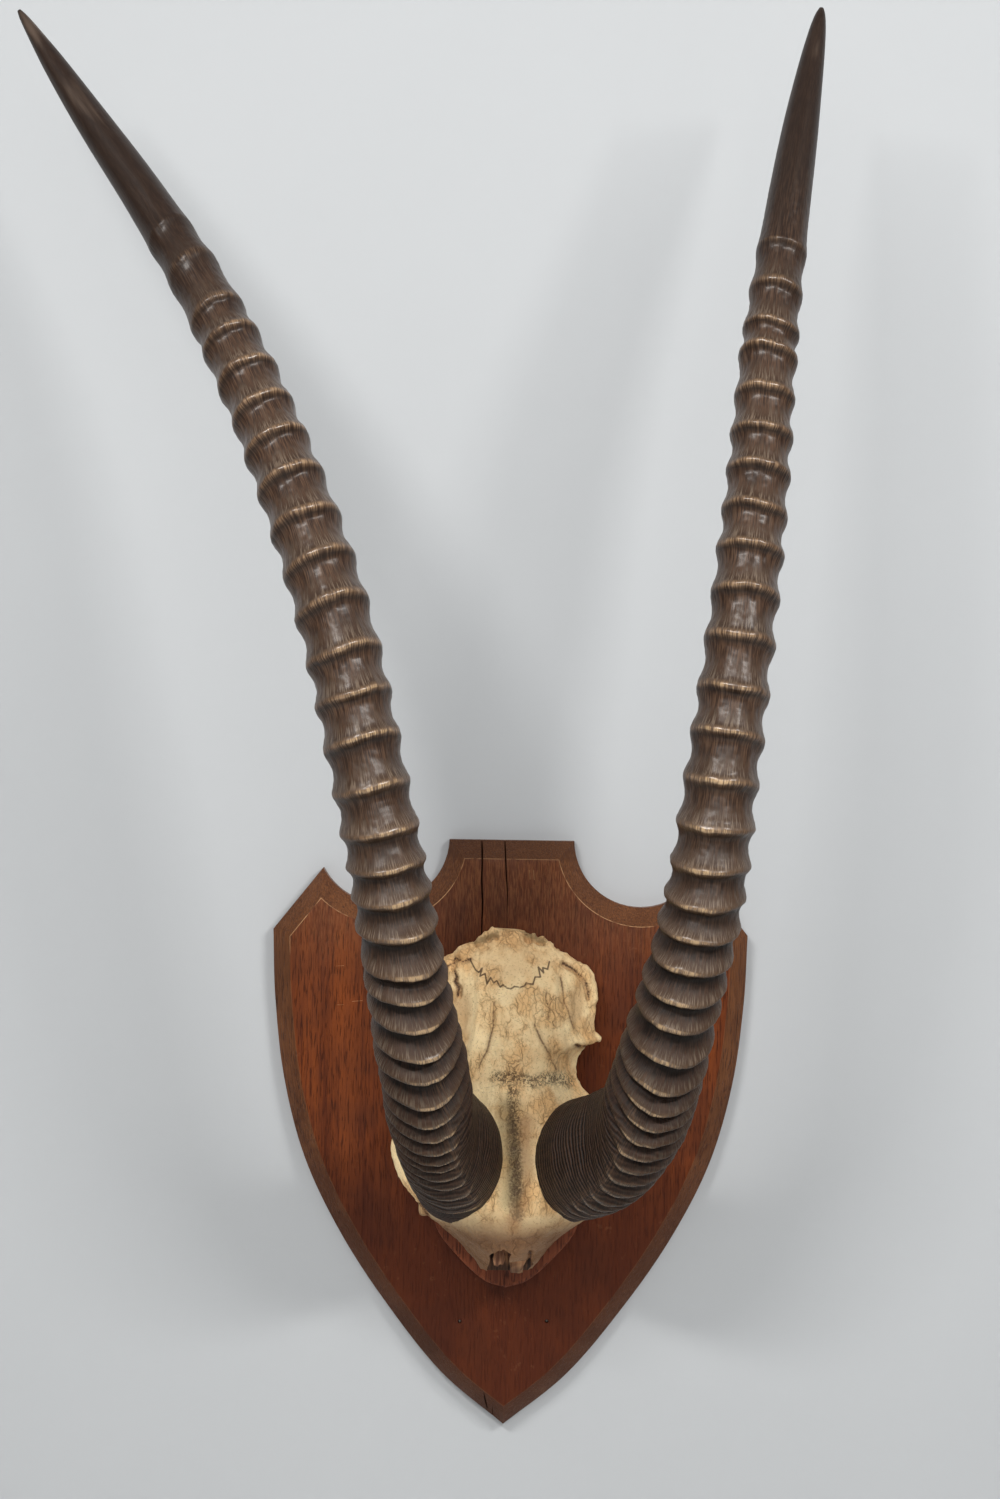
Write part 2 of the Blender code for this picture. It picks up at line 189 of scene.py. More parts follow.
sky = bpy.data.worlds.new("soft_sky")
sky.use_nodes = True
tree = sky.node_tree
direction = add_node(tree, "ShaderNodeTexCoord").outputs["Generated"]
upward = split(tree, direction)[2]
brightness = ramp(tree, upward, -0.2, 0.8, 0.1, 0.4)
set_inputs(tree, tree.nodes["Background"], {"Color": (0.97, 0.98, 1, 1), "Strength": brightness})
bpy.context.scene.world = sky
bpy.context.scene.view_settings.view_transform = "Standard"

CAMERA_PLACE = (-9.3 * MM, -1.538, 0.266)
CAMERA_TURN = math.radians(0.886)
SENSOR_WIDTH_MM = 36
FOCAL_LENGTH_MM = 52.77
lens = bpy.data.cameras.new("camera")
lens.sensor_width = SENSOR_WIDTH_MM
lens.lens = FOCAL_LENGTH_MM
camera = bpy.data.objects.new("camera", lens)
facing = Matrix.Rotation(-CAMERA_TURN, 4, "Y") @ Matrix.Rotation(math.radians(90), 4, "X")
camera.matrix_world = Matrix.Translation(CAMERA_PLACE) @ facing
bpy.context.scene.collection.objects.link(camera)
bpy.context.scene.camera = camera


# Shield
# The board is one thick plank of dark reddish hardwood with its grain upright, sawn to shape, with a
# wide bevel all round, stained and varnished. It has split from the top edge and its arris is rubbed.
SHIELD_THICK = 22 * MM
SHIELD_TOP = 203 * MM
BEVEL_WIDTH = 12.5 * MM
EDGE_THICK = 9.5 * MM
ARRIS = 0.3 * MM
SCOOP_CENTRE = Vector((90 * MM, 204 * MM))
SCOOP_RADIUS = 46.5 * MM
EAR_PEAK = Vector((131 * MM, 182 * MM))
EAR_CORNER = Vector((165 * MM, 139 * MM))
EAR_ALONG = (EAR_CORNER - EAR_PEAK).normalized()
EAR_INWARD = Vector((EAR_ALONG.y, -EAR_ALONG.x))
SIDE_MM = [(165, 139), (163, 92), (156, 36), (141, -19), (116, -70), (84, -118), (44, -167), (0, -203)]
CRACKS_MM = [
    [(-21.7, 205), (-20.1, 205), (-19.7, 190), (-19.9, 176), (-19.1, 160), (-19.5, 143), (-19.9, 128),
     (-20.4, 143), (-20.3, 160), (-21.1, 176), (-20.9, 190)],
    [(-5.5, 205), (-4.4, 205), (-3.8, 192), (-3.1, 180), (-2.3, 170), (-2.2, 153), (-3.2, 170),
     (-4.1, 180), (-4.8, 192)],
    [(-14, -176), (-12.4, -183), (-10.6, -192), (-11.6, -191), (-13.2, -184)],
    [(-7.4, -186), (-6.8, -205), (-7.8, -205)],
]
CRACK_DEPTH = 12 * MM
NAIL_HOLES_MM = [(-31, -129), (29, -128)]
NAIL_HOLE = 1.3 * MM
NAIL_HOLE_DEPTH = 3 * MM
SCRATCHES_MM = [
    [(-120, 114.8), (-114.6, 115.1), (-114.6, 115.4), (-120, 115)],
    [(-108.7, 90.5), (-101.4, 91.2), (-101.4, 91.5), (-108.7, 90.8)],
    [(-119.1, 88), (-114.5, 88.2), (-114.5, 88.5), (-119.1, 88.2)],
    [(11.8, 183.2), (12.6, 183.1), (13.2, 176.8), (12.5, 176.7)],
    [(14.6, 183.5), (15.4, 183.4), (16.1, 176.4), (15.4, 176.3)],
]
SCRATCH_DEPTH = 0.15 * MM
SCOOP_STEPS = 40
GAP = 0.3 * MM
PLATE_SIZE = Vector((16, 2, 40)) * MM
PLATE_Z = 140 * MM
POCKET_SIZE = Vector((11, 11, 21)) * MM
PLATE_SCREW = dict(head=3 * MM, shank=1.4 * MM, length=12 * MM, sunk=0.2 * MM)
PLATE_SCREW_HEIGHTS = (155 * MM, 125 * MM)
SKULL_SCREW = dict(head=4.5 * MM, shank=2.2 * MM, length=62 * MM, sunk=1 * MM)
SKULL_SCREW_HEIGHTS = (62 * MM, -34 * MM)
TURNED_SIDES = 40


def curve_through(points, steps):
    """Points on one smooth curve through the given ones, with so many steps in each span."""
    points = [Vector(point) for point in points]
    padded = [points[0] * 2 - points[1], *points, points[-1] * 2 - points[-2]]
    curve = []
    for a, b, c, d in zip(padded, padded[1:], padded[2:], padded[3:]):
        for step in range(steps):
            t = step / steps
            bend = (a * 2 - b * 5 + c * 4 - d) * t ** 2 + (b * 3 - a - c * 3 + d) * t ** 3
            curve.append((b * 2 + (c - a) * t + bend) / 2)
    curve.append(points[-1])
    return curve


def read_rows(rows, t):
    """The values after the first in each row, taken at t between the rows."""
    for low, high in zip(rows, rows[1:]):
        if t <= high[0]:
            share = (t - low[0]) / (high[0] - low[0])
            return [a + (b - a) * share for a, b in zip(low[1:], high[1:])]
    return list(rows[-1][1:])


def resample(points, count):
    """The same line with so many points at even distances."""
    lengths = [0.0]
    for a, b in zip(points, points[1:]):
        lengths.append(lengths[-1] + (b - a).length)
    rows = [(length, *point) for length, point in zip(lengths, points)]
    return [Vector(read_rows(rows, lengths[-1] * i / (count - 1))) for i in range(count)]


def loft(loops):
    """A closed body with a skin from each loop of points to the next and both ends filled."""
    bm = bmesh.new()
    edges = []
    for points in loops:
        verts = [bm.verts.new(point) for point in points]
        edges.append([bm.edges.new(pair) for pair in zip(verts, verts[1:] + verts[:1])])
    for lower, upper in zip(edges, edges[1:]):
        bmesh.ops.bridge_loops(bm, edges=lower + upper)
    for end in (edges[0], edges[-1]):
        bmesh.ops.edgeloop_fill(bm, edges=end)
    bmesh.ops.recalc_face_normals(bm, faces=bm.faces)
    return bm


def prism(outline_mm, far_out, near_out):
    """An outline seen from the front, made solid between two distances out from the board's back."""
    return loft([[(x * MM, -out, z * MM) for x, z in outline_mm] for out in (near_out, far_out)])


def box(width, height, z, far_out, near_out):
    """A box on the board's middle line, between two distances out from the board's back."""
    x, low, high = width / 2 / MM, (z - height / 2) / MM, (z + height / 2) / MM
    return prism([(-x, low), (x, low), (x, high), (-x, high)], far_out, near_out)


def turned(x, z, profile):
    """A round body square to the board, from rows of radius and distance out from the board's back."""
    turns = [math.tau * side / TURNED_SIDES for side in range(TURNED_SIDES)]
    return loft([
        [(x + radius * math.cos(turn), -out, z + radius * math.sin(turn)) for turn in turns]
        for radius, out in profile
    ])


def screw_profile(screw, grow):
    """A countersunk screw's radii and distances out, from the flat of its head to its point."""
    neck = screw["sunk"] + screw["head"] - screw["shank"]
    point = screw["length"] + grow - screw["shank"] * 1.6
    shank = screw["shank"] + grow
    end = (shank * 0.35, screw["length"] + grow)
    return [(screw["head"] + grow, screw["sunk"]), (shank, neck), (shank, point), end]


def screw_hole(height, screw):
    """The space that a screw needs, open at the board's back."""
    return turned(0, height, [(screw["head"] + GAP, -MM), *screw_profile(screw, GAP)])


def cut(thing, bm, material=None):
    """Takes the shape in the bmesh away from the object, at once. The cut faces may get a material."""
    cutter = add_object("cutter", bm, [material] if material else [])
    boolean = thing.modifiers.new("cut", "BOOLEAN")
    boolean.material_mode = "TRANSFER" if material else "INDEX"
    boolean.operation = "DIFFERENCE"
    boolean.solver = "EXACT"
    boolean.object = cutter
    depsgraph = bpy.context.evaluated_depsgraph_get()
    mesh = bpy.data.meshes.new_from_object(thing.evaluated_get(depsgraph))
    thing.modifiers.clear()
    thing.data = mesh
    bpy.data.objects.remove(cutter)


def scoop_meets_ear(radius, inset):
    """Where the scoop's circle crosses the ear's straight edge, both moved in by the inset."""
    start = EAR_PEAK + EAR_INWARD * inset - SCOOP_CENTRE
    back = start.dot(EAR_ALONG)
    reach = math.sqrt(back ** 2 - start.length_squared + radius ** 2)
    return SCOOP_CENTRE + start + EAR_ALONG * (reach - back)


def side_curve(inset):
    """The right side moved in, from the ear's straight edge to the middle line."""
    curve = curve_through([Vector(point) * MM for point in SIDE_MM], 8)
    if not inset:
        return curve
    moved = []
    for index, point in enumerate(curve):
        run = curve[min(index + 1, len(curve) - 1)] - curve[max(index - 1, 0)]
        moved.append(point + Vector((run.y, -run.x)).normalized() * inset)
    edge = EAR_PEAK + EAR_INWARD * inset
    kept = [point for point in moved if EAR_ALONG.cross(point - edge) < 0 and point.x > 0]
    top = kept[0].x - edge.x
    first = Vector((kept[0].x, edge.y + EAR_ALONG.y / EAR_ALONG.x * top))
    slope = (kept[-1].y - kept[-2].y) / (kept[-1].x - kept[-2].x)
    last = Vector((0, kept[-1].y - slope * kept[-1].x))
    return resample([first, *kept, last], len(curve))


def shield_outline(inset, out):
    """The board's outline at one distance out from its back, clockwise from the top's middle."""
    radius = SCOOP_RADIUS + inset
    top = SHIELD_TOP - inset
    reach = math.sqrt(radius ** 2 - (top - SCOOP_CENTRE.y) ** 2)
    start = Vector((SCOOP_CENTRE.x - reach, top)) - SCOOP_CENTRE
    end = scoop_meets_ear(radius, inset) - SCOOP_CENTRE
    first = math.atan2(start.y, start.x) % math.tau
    last = math.atan2(end.y, end.x) % math.tau
    right = [Vector((0, top))]
    for step in range(SCOOP_STEPS + 1):
        angle = first + (last - first) * step / SCOOP_STEPS
        right.append(SCOOP_CENTRE + Vector((math.cos(angle), math.sin(angle))) * radius)
    right += side_curve(inset)
    left = [Vector((-point.x, point.y)) for point in reversed(right[1:-1])]
    return [(point.x, -out, point.y) for point in right + left]


def new_group(name, inputs, outputs):
    """A shader node group: its tree, what comes in, and the node for what it gives out."""
    group = bpy.data.node_groups.new(name, "ShaderNodeTree")
    for label, kind in inputs:
        group.interface.new_socket(name=label, in_out="INPUT", socket_type=kind)
    for label, kind in outputs:
        group.interface.new_socket(name=label, in_out="OUTPUT", socket_type=kind)
    return group, group.nodes.new("NodeGroupInput").outputs, group.nodes.new("NodeGroupOutput")


def stretched_noise(tree, place, scale, squeeze, detail=2.0):
    """Noise whose spots are drawn out upwards, or along a horn."""
    drawn = add_node(tree, "ShaderNodeMapping", {"Vector": place, "Scale": (1, 1, squeeze)}).outputs[0]
    return clouds_of(tree, drawn, scale, detail)


def lay_over(tree, under, tone, share, strength=1.0):
    """Lays a tone over the colour under it, where the share is 1. The tone is as it looks on screen."""
    return blend_colours(tree, times(tree, share, strength), under, colour(*tone))


def layered(tree, base, layers):
    """Lays each row's tone over the last, at its share and strength, from the first row up."""
    for tone, share, strength in layers:
        base = lay_over(tree, base, tone, share, strength)
    return base


# Wood grain for the board and the block: broad upright bands, fine fibres and short dark pores
wood_grain, given, result = new_group(
    "wood_grain",
    [("Place", "NodeSocketVector"), ("Light", "NodeSocketColor"), ("Dark", "NodeSocketColor")],
    [("Colour", "NodeSocketColor"), ("Roughness", "NodeSocketFloat"), ("Height", "NodeSocketFloat")],
)
bands = stretched_noise(wood_grain, given["Place"], 42, 0.05, 4)
fibres = stretched_noise(wood_grain, given["Place"], 700, 0.04, 3)
specks = stretched_noise(wood_grain, given["Place"], 950, 0.09, 2)
pores = ramp(wood_grain, specks, 0.54, 0.66)
toned = blend_colours(wood_grain, ramp(wood_grain, bands, 0.2, 0.8), given["Dark"], given["Light"])
streaked = blend_colours(wood_grain, ramp(wood_grain, fibres, 0.45, 0.68, 0, 0.4), toned, given["Light"])
shadowed = blend_colours(wood_grain, ramp(wood_grain, fibres, 0.5, 0.28, 0, 0.6), streaked, given["Dark"])
pored = lay_over(wood_grain, shadowed, (36, 13, 7), pores, 0.6)
dull = ramp(wood_grain, fibres, 0.3, 0.7, 0.52, 0.38)
dips = maths(wood_grain, "MULTIPLY_ADD", pores, -0.8, times(wood_grain, fibres, 0.5))
set_inputs(wood_grain, result, {"Colour": pored, "Roughness": dull, "Height": dips})

# Soft uneven darkening and small pale scuffs, for wood, bone and metal alike
aging, given, result = new_group(
    "aging",
    [("Place", "NodeSocketVector"), ("Size", "NodeSocketFloat")],
    [("Grime", "NodeSocketFloat"), ("Scuffs", "NodeSocketFloat")],
)
clouds = clouds_of(aging, given["Place"], given["Size"], 5)
flecks = clouds_of(aging, given["Place"], times(aging, given["Size"], 9), 3)
spots = times(aging, ramp(aging, flecks, 0.63, 0.72), ramp(aging, clouds, 0.52, 0.4))
set_inputs(aging, result, {"Grime": ramp(aging, clouds, 0.42, 0.7), "Scuffs": spots})


def place_group(tree, group, inputs):
    """Places a node group in a material, and returns what it gives out."""
    return add_node(tree, "ShaderNodeGroup", inputs, node_tree=group).outputs


def set_bump(tree, shader, height, distance, strength=1.0):
    """Turns a height into small relief on the shader, with the distance in metres."""
    inputs = {"Height": height, "Distance": distance, "Strength": strength}
    set_inputs(tree, shader, {"Normal": add_node(tree, "ShaderNodeBump", inputs).outputs[0]})


def board_material(name, light, dark, wear_and_glint=0.0, shade=0.6, gloss=0.0):
    """Stained upright-grained wood. Rubbed says how far the stain is gone, and shade how much painted
    shade darkens the middle and the lower part of the board, where skull and horns would shade it,
    both from 0 to 1."""
    material, tree, shader = new_material(name)
    place = object_place(tree)
    grain = place_group(tree, wood_grain, {"Place": place, "Light": light, "Dark": dark})
    age = place_group(tree, aging, {"Place": place, "Size": 22})
    sideways, _, upward = split(tree, place)
    # Painted shade: the board grows darker towards its middle and its lower part, where the skull and horns
    # shade it
    across = maths(tree, "ABSOLUTE", sideways)
    low = ramp(tree, upward, 20 * MM, -85 * MM)
    inward = maths(tree, "MAXIMUM", ramp(tree, across, 120 * MM, 50 * MM), low)
    below = ramp(tree, upward, 170 * MM, -60 * MM, 0.5, 1.3)
    toned = blend_colours(tree, times(tree, inward, shade, below), grain["Colour"], dark)
    faded = times(tree, ramp(tree, upward, 90 * MM, 180 * MM), 0.6)
    threads = ramp(tree, stretched_noise(tree, place, 1300, 0.12, 3), 0.4, 0.64)
    pale = blend_colours(tree, threads, colour(82, 49, 32), colour(118, 77, 49))
    toned = blend_colours(tree, faded, toned, pale)
    patches = stretched_noise(tree, place, 110, 0.6, 5)
    exposed = ramp(tree, upward, 110 * MM, 150 * MM, 0.12, 1)
    at_top = ramp(tree, upward, 184 * MM, 188 * MM, 1, 0.45)
    bare = times(tree, exposed, at_top, ramp(tree, patches, 0.36, 0.54))
    worn = layered(tree, toned, [
        ((58, 38, 28), ramp(tree, upward, 188 * MM, 192 * MM), 0.35),
        ((38, 18, 13), age["Grime"], 0.35),
        ((150, 104, 74), age["Scuffs"], 0.12),
        ((190, 146, 104), bare, wear_and_glint),
    ])
    smooth = maths(tree, "SUBTRACT", grain["Roughness"], gloss)
    dulled = maths(tree, "MULTIPLY_ADD", age["Grime"], 0.12, smooth)
    set_inputs(tree, shader, {"Base Color": worn, "Roughness": dulled, "Specular IOR Level": 0.16})
    set_bump(tree, shader, grain["Height"], 0.25 * MM)
    return material


board_face = board_material("board_face", colour(124, 62, 26), colour(70, 28, 11))
board_bevel = board_material("board_bevel", colour(120, 75, 43), colour(74, 41, 23))
board_arris = board_material("board_arris", colour(116, 64, 34), colour(76, 37, 20), wear_and_glint=0.7)
board_back = board_material("board_back", colour(150, 108, 72), colour(104, 68, 42), 0, 0.2, -0.3)
bare_wood = board_material("bare_wood", colour(186, 138, 98), colour(140, 96, 62), 0, 0, -0.3)
crack_wood = board_material("crack_wood", colour(40, 20, 12), colour(20, 10, 7), 0, 0, -0.3)

outlines = [shield_outline(0, 0), shield_outline(0, EDGE_THICK), shield_outline(BEVEL_WIDTH, SHIELD_THICK)]
bm = loft(outlines)


def edges_at(bm, out):
    """The edges that lie in the plane at that distance out from the board's back."""
    return [edge for edge in bm.edges if all(abs(vert.co.y + out) < 0.01 * MM for vert in edge.verts)]


arris_edges, rim_edges = edges_at(bm, SHIELD_THICK), edges_at(bm, EDGE_THICK)
for face in bm.faces:
    face.material_index = 0 if face.normal.y < -0.95 else 3 if face.normal.y > 0.95 else 1
bmesh.ops.bevel(bm, geom=arris_edges, offset=ARRIS, segments=2, profile=0.5, affect="EDGES", material=2)
bmesh.ops.bevel(bm, geom=rim_edges, offset=ARRIS, segments=2, profile=0.5, affect="EDGES", material=-1)
shield = add_object("board", bm, [board_face, board_bevel, board_arris, board_back], 30)
for crack in CRACKS_MM:
    cut(shield, prism(crack, SHIELD_THICK + MM, SHIELD_THICK - CRACK_DEPTH), crack_wood)
for scratch in SCRATCHES_MM:
    cut(shield, prism(scratch, SHIELD_THICK + MM, SHIELD_THICK - SCRATCH_DEPTH), bare_wood)
for x, z in NAIL_HOLES_MM:
    hole = [(NAIL_HOLE, SHIELD_THICK - NAIL_HOLE_DEPTH), (NAIL_HOLE, SHIELD_THICK + MM)]
    cut(shield, turned(x * MM, z * MM, hole))
recess = PLATE_SIZE + Vector((2, 1, 2)) * GAP
cut(shield, box(recess.x, recess.z, PLATE_Z, recess.y, -MM), bare_wood)
cut(shield, box(POCKET_SIZE.x, POCKET_SIZE.z, PLATE_Z, POCKET_SIZE.y, 0), bare_wood)
for screw, heights in ((PLATE_SCREW, PLATE_SCREW_HEIGHTS), (SKULL_SCREW, SKULL_SCREW_HEIGHTS)):
    for height in heights:
        cut(shield, screw_hole(height, screw), bare_wood)
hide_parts("shield")
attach(shield, "root")


# Backing block
# A small thin block of redder wood, cut to the skull's outline, lifts the skull cap off the board. It
# is screwed between them and only its rounded rim shows.
BLOCK_THICK = 18 * MM
BLOCK_RIM = 1.5 * MM
BLOCK_MM = [
    (0, 108), (30, 104), (38, 84), (38, 40), (50, 8), (53, -30), (48, -60), (32, -81), (15, -96), (0, -101),
]

block_wood = board_material("block_wood", colour(146, 78, 48), colour(78, 36, 22), 0, 0)
right = curve_through([Vector(point) * MM for point in BLOCK_MM], 6)
outline = right + [Vector((-point.x, point.y)) for point in reversed(right[1:-1])]
block_front = SHIELD_THICK + GAP + BLOCK_THICK
block_loops = []
rim = [(block_front - BLOCK_RIM, 0), (block_front - 0.4 * BLOCK_RIM, 0.35), (block_front, 1)]
for out, shrink in [(SHIELD_THICK + GAP, 0), *rim]:
    scale = 1 - shrink * BLOCK_RIM / (50 * MM)
    block_loops.append([(point.x * scale, -out, point.y * scale) for point in outline])
block = add_object("block", loft(block_loops), [block_wood], 40)
for height in SKULL_SCREW_HEIGHTS:
    cut(block, screw_hole(height, SKULL_SCREW))
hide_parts("backing_block")
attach(block, "root")


# Skull cap
# The sawn-off top of the skull, one piece of bleached and stained bone: the nape with two small
# hollows, the zigzag seam of the back plate, the rims of the eye sockets and the broken nasal end.
SKULL_BACK = SHIELD_THICK + BLOCK_THICK + 2 * GAP
SKULL_MM = [
    (145, 9, 13, 10, 13, 15),
    (138, 18, 25, 11, 17, 20),
    (127, 30, 37, 11, 23, 28),
    (119, 42, 53, 7, 26, 32),
    (110, 45, 57, 8, 29, 36),
    (94, 46, 58, 9, 33, 40),
    (77, 45, 58, 8, 37, 45),
    (70, 44, 62, 7, 38, 47),
    (62, 40, 48, 8, 40, 49),
    (46, 38, 46, 13, 44, 54),
    (28, 42, 60, 26, 50, 60),
    (8, 46, 76, 34, 56, 65),
    (-14, 46, 75, 34, 60, 69),
    (-34, 44, 62, 32, 61, 69),
    (-44, 41, 56, 28, 58, 67),
    (-52, 34, 45, 26, 55, 64),
    (-66, 24, 30, 24, 46, 55),
    (-81, 14, 18, 22, 37, 45),
]
SHOULDER_SHARE = 0.62
NAPE_FOOT = 128 * MM
NAPE_HEIGHT = 17 * MM
NAPE_RAGGED = 4 * MM
SKULL_FRONT = SKULL_BACK + 62 * MM
SKULL_ROUND = 300
SKULL_ALONG = 320
UNDERSIDE_SHARE = 0.12
SEAM_MM = [
    (-27.2, 125.1), (-23.4, 118.6), (-21, 117.1), (-19, 119.8), (-20.3, 114.8), (-16.9, 116.4),
    (-15.6, 109.8), (-13.2, 114.1), (-11.1, 110.6), (-9.1, 112.1), (-6.7, 108), (-4.8, 109.6),
    (-2.2, 107.5), (0.2, 106.9), (3, 108.7), (6.4, 107.9), (9.9, 109.4), (10.4, 111.1), (15.1, 109.9),
    (16.5, 114.8), (20.1, 114.6), (18.5, 121), (22.2, 117.3), (21.5, 120.6), (24.7, 119.7), (25.9, 124.3),
]
HAIRLINES_MM = [
    [(-10.5, 98.1), (-11.2, 88.7), (-10.7, 83.3), (-12.2, 77.8), (-13.3, 73.1), (-14.8, 66.9), (-17.9, 61.5),
     (-20.2, 55.3)],
    [(33.3, 114.4), (34.1, 111.3), (35.3, 105.1), (35.8, 98.8), (38.7, 92.6), (40.7, 86.4), (42.8, 80.2)],
    [(16.2, 84.4), (18.3, 79.8), (20.3, 75.2), (23.6, 69.8), (26.5, 64.4), (28.5, 59.1), (31.7, 53.8)],
    [(24, 104.9), (23.7, 100.2), (26.2, 93.9), (25.4, 87.7)],
]
DEEP_CRACKS_MM = [
    [(-42.5, 119.9), (-38.5, 121.8), (-37.3, 124.6), (-32, 123.3), (-27.2, 125.1)],
    [(-37.7, 121.9), (-38.2, 118), (-36, 113.4), (-37, 110.3), (-34.2, 106.4), (-34.8, 101.2)],
    [(35.3, 122.9), (40.9, 119.9), (45.8, 116.1), (50.6, 110.8), (52.3, 105.3), (53.5, 99)],
    [(45, 69), (49, 66.5), (55, 66), (59, 68)],
    [(-58.5, -37), (-54.5, -41), (-52.5, -45)],
    [(16, -65), (16.2, -72.7)],
]
RIDGES_MM = [
    [(-21.3, 116.7), (-20.2, 107.4), (-20.5, 94.8), (-21.2, 85.4), (-21.8, 77.7), (-24.4, 66),
     (-25.9, 59.8)],
    [(27, 122), (29.5, 106), (31.5, 94), (33.5, 80), (36, 64)],
    [(31, 128), (38, 124.5), (45, 120.5), (51, 115), (55.5, 107), (57, 98)],
    [(-44, 122), (-39, 126), (-32, 127.5), (-25, 122)],
]
HOLLOWS_MM = [[(-23.4, 135.4), (-16.9, 138.8), (-10.2, 141)], [(11.4, 141.2), (16.5, 139.3), (21.5, 136.7)]]
SWELLS_MM = [
    (1, 124, 24, 20, 1.8), (1, 84, 16, 30, 1.2), (-33, 88, 13, 36, -2.6), (46, 97, 8, 22, -2.8),
    (33, 78, 6, 34, -1.2), (5, -40, 26, 22, 1.0), (-46, -30, 8, 14, 1.2), (-57, -45, 6, 6, 2.5),
]
POROUS_MM = [
    [(-9, 50), (-0.2, 50.2), (7, 49.6), (15.8, 47.4), (24.6, 49.2), (34.2, 47.8), (40, 44.7)],
    [(2.6, 51.8), (3, 39.6), (3.4, 26), (4, 14), (4.6, -4), (5.6, -22)],
]
OLIVE_STAIN_AND_SHADE_MM = [[(0, 30), (1, 18), (2, -2), (4, -26)]]
DARK_STAIN_MM = [[(3, 24), (4.5, 8), (5, -6), (6, -20), (6.9, -36)]]
BROWN_STAIN_MM = [[(11, 22), (11.5, 8), (13, -7.3), (11, -28), (4, -40)]]


def skull_section(row):
    """One cross-section of the skull cap, all round, from the right end of its underside."""
    height, base, rim, rim_out, shoulder_out, crown_out = [value * MM for value in row]
    half = [(base, 0), (rim, rim_out), (rim * SHOULDER_SHARE, shoulder_out), (0, crown_out)]
    half = half + [(-x, out) for x, out in reversed(half[:-1])]
    under = round(SKULL_ROUND * UNDERSIDE_SHARE)
    curve = resample(curve_through([Vector(point) for point in half], 12), SKULL_ROUND - under + 1)
    back = [Vector((-base + 2 * base * step / under, 0)) for step in range(1, under + 1)]
    return [Vector((point.x, -SKULL_BACK - point.y, height)) for point in curve + back]


def rolled_grid(around, along):
    """A grid with so many steps around and along, and each vertex's place on it in steps."""
    bm = bmesh.new()
    bmesh.ops.create_grid(bm, x_segments=around, y_segments=along, size=0.5)
    return bm, [(round((vert.co.x + 0.5) * around), round((vert.co.y + 0.5) * along)) for vert in bm.verts]


def close_tube(bm):
    """Welds a rolled grid's seam, fills its two ends and turns its faces outwards."""
    bmesh.ops.remove_doubles(bm, verts=bm.verts, dist=0.01 * MM)
    bmesh.ops.holes_fill(bm, edges=[edge for edge in bm.edges if edge.is_boundary])
    bmesh.ops.recalc_face_normals(bm, faces=bm.faces)


def line_distance(places, lines):
    """For each place, the distance to the nearest of the lines, all seen from the front, in mm."""
    nearest = np.full(len(places), 1e3)
    for line in lines:
        for start, end in zip(line, line[1:]):
            start, run = np.array(start), np.subtract(end, start)
            share = np.clip((places - start) @ run / (run @ run), 0, 1)
            off = places - start - share[:, None] * run
            nearest = np.minimum(nearest, np.hypot(off[:, 0], off[:, 1]))
    return nearest


def dent(distance, width):
    """1 on a line, falling smoothly to 0 at that distance from it."""
    share = np.clip(1 - distance / width, 0, 1)
    return share * share * (3 - 2 * share)


def held(value):
    """The value, held between 0 and 1."""
    return min(max(value, 0), 1)


rows = resample(curve_through([Vector(row) for row in SKULL_MM], 16), SKULL_ALONG + 1)
sections = [skull_section(row) for row in rows]
bm, steps = rolled_grid(SKULL_ROUND, SKULL_ALONG)
for vert, (around, along) in zip(bm.verts, steps):
    vert.co = sections[along][around]
close_tube(bm)
bm.normal_update()
places = np.array([(vert.co.x, vert.co.z) for vert in bm.verts]) / MM
outs = np.array([-vert.co.y - SKULL_BACK for vert in bm.verts]) / MM
rough = np.array([noise.fractal(vert.co * 55, 0.8, 2.2, 4) for vert in bm.verts])
coarse = np.array([noise.noise(vert.co * 140) for vert in bm.verts])
fine = np.array([noise.fractal(vert.co * 420, 0.9, 2, 3) for vert in bm.verts])
wrinkles = np.array([noise.fractal(vert.co * Vector((300, 300, 70)), 1, 2, 2) for vert in bm.verts])
nape = np.clip((places[:, 1] - 112) / 20, 0, 1)
lump = dent(np.hypot(places[:, 0] + 37, places[:, 1] - 124), 14)
rims = np.clip(1 - outs / 22, 0, 1)
push = rough * 0.9 + coarse * (0.2 + 1.5 * nape + 0.8 * rims)
push += fine * (0.15 + 0.4 * nape) + wrinkles * 0.45
push += lump * (1.5 + coarse * 2.5)
for x, z, wide, high, rise in SWELLS_MM:
    push += dent(np.hypot((places[:, 0] - x) / wide, (places[:, 1] - z) / high), 1) * rise
for lines, width, rise in (
    (HOLLOWS_MM, 3.2, -2.6),
    (DEEP_CRACKS_MM, 2.4, -2.2),
    (HAIRLINES_MM, 1.2, -0.35),
    ([SEAM_MM], 0.9, -0.4),
    (RIDGES_MM, 4.5, 1.9),
):
    push += dent(line_distance(places, lines), width) * rise
push -= dent(line_distance(places, POROUS_MM), 4) * 0.35 * (1 + fine)
push *= np.clip(outs / 3, 0, 1)
sunk = bm.verts.layers.float.new("sunk")
for vert, amount in zip(bm.verts, push):
    ragged = noise.noise(Vector((vert.co.x * 110, 3, 0)))
    ragged += 0.5 * noise.noise(Vector((vert.co.x * 300, 7, 0)))
    lift = (ragged - 0.5) * held((vert.co.z - NAPE_FOOT) / NAPE_HEIGHT) * NAPE_RAGGED
    vert.co += vert.normal * float(amount) * MM + Vector((0, 0, lift))
    vert[sunk] = float(amount)


def paint_points(thing, name, values):
    """Stores one number for each point of the object, for its material to read."""
    thing.data.attributes.new(name, "FLOAT", "POINT").data.foreach_set("value", values.astype(np.float32))


def attribute(tree, name, kind="Fac"):
    """What was stored under that name for each point: a number, or a vector if that kind is asked for."""
    return add_node(tree, "ShaderNodeAttribute", attribute_name=name).outputs[kind]


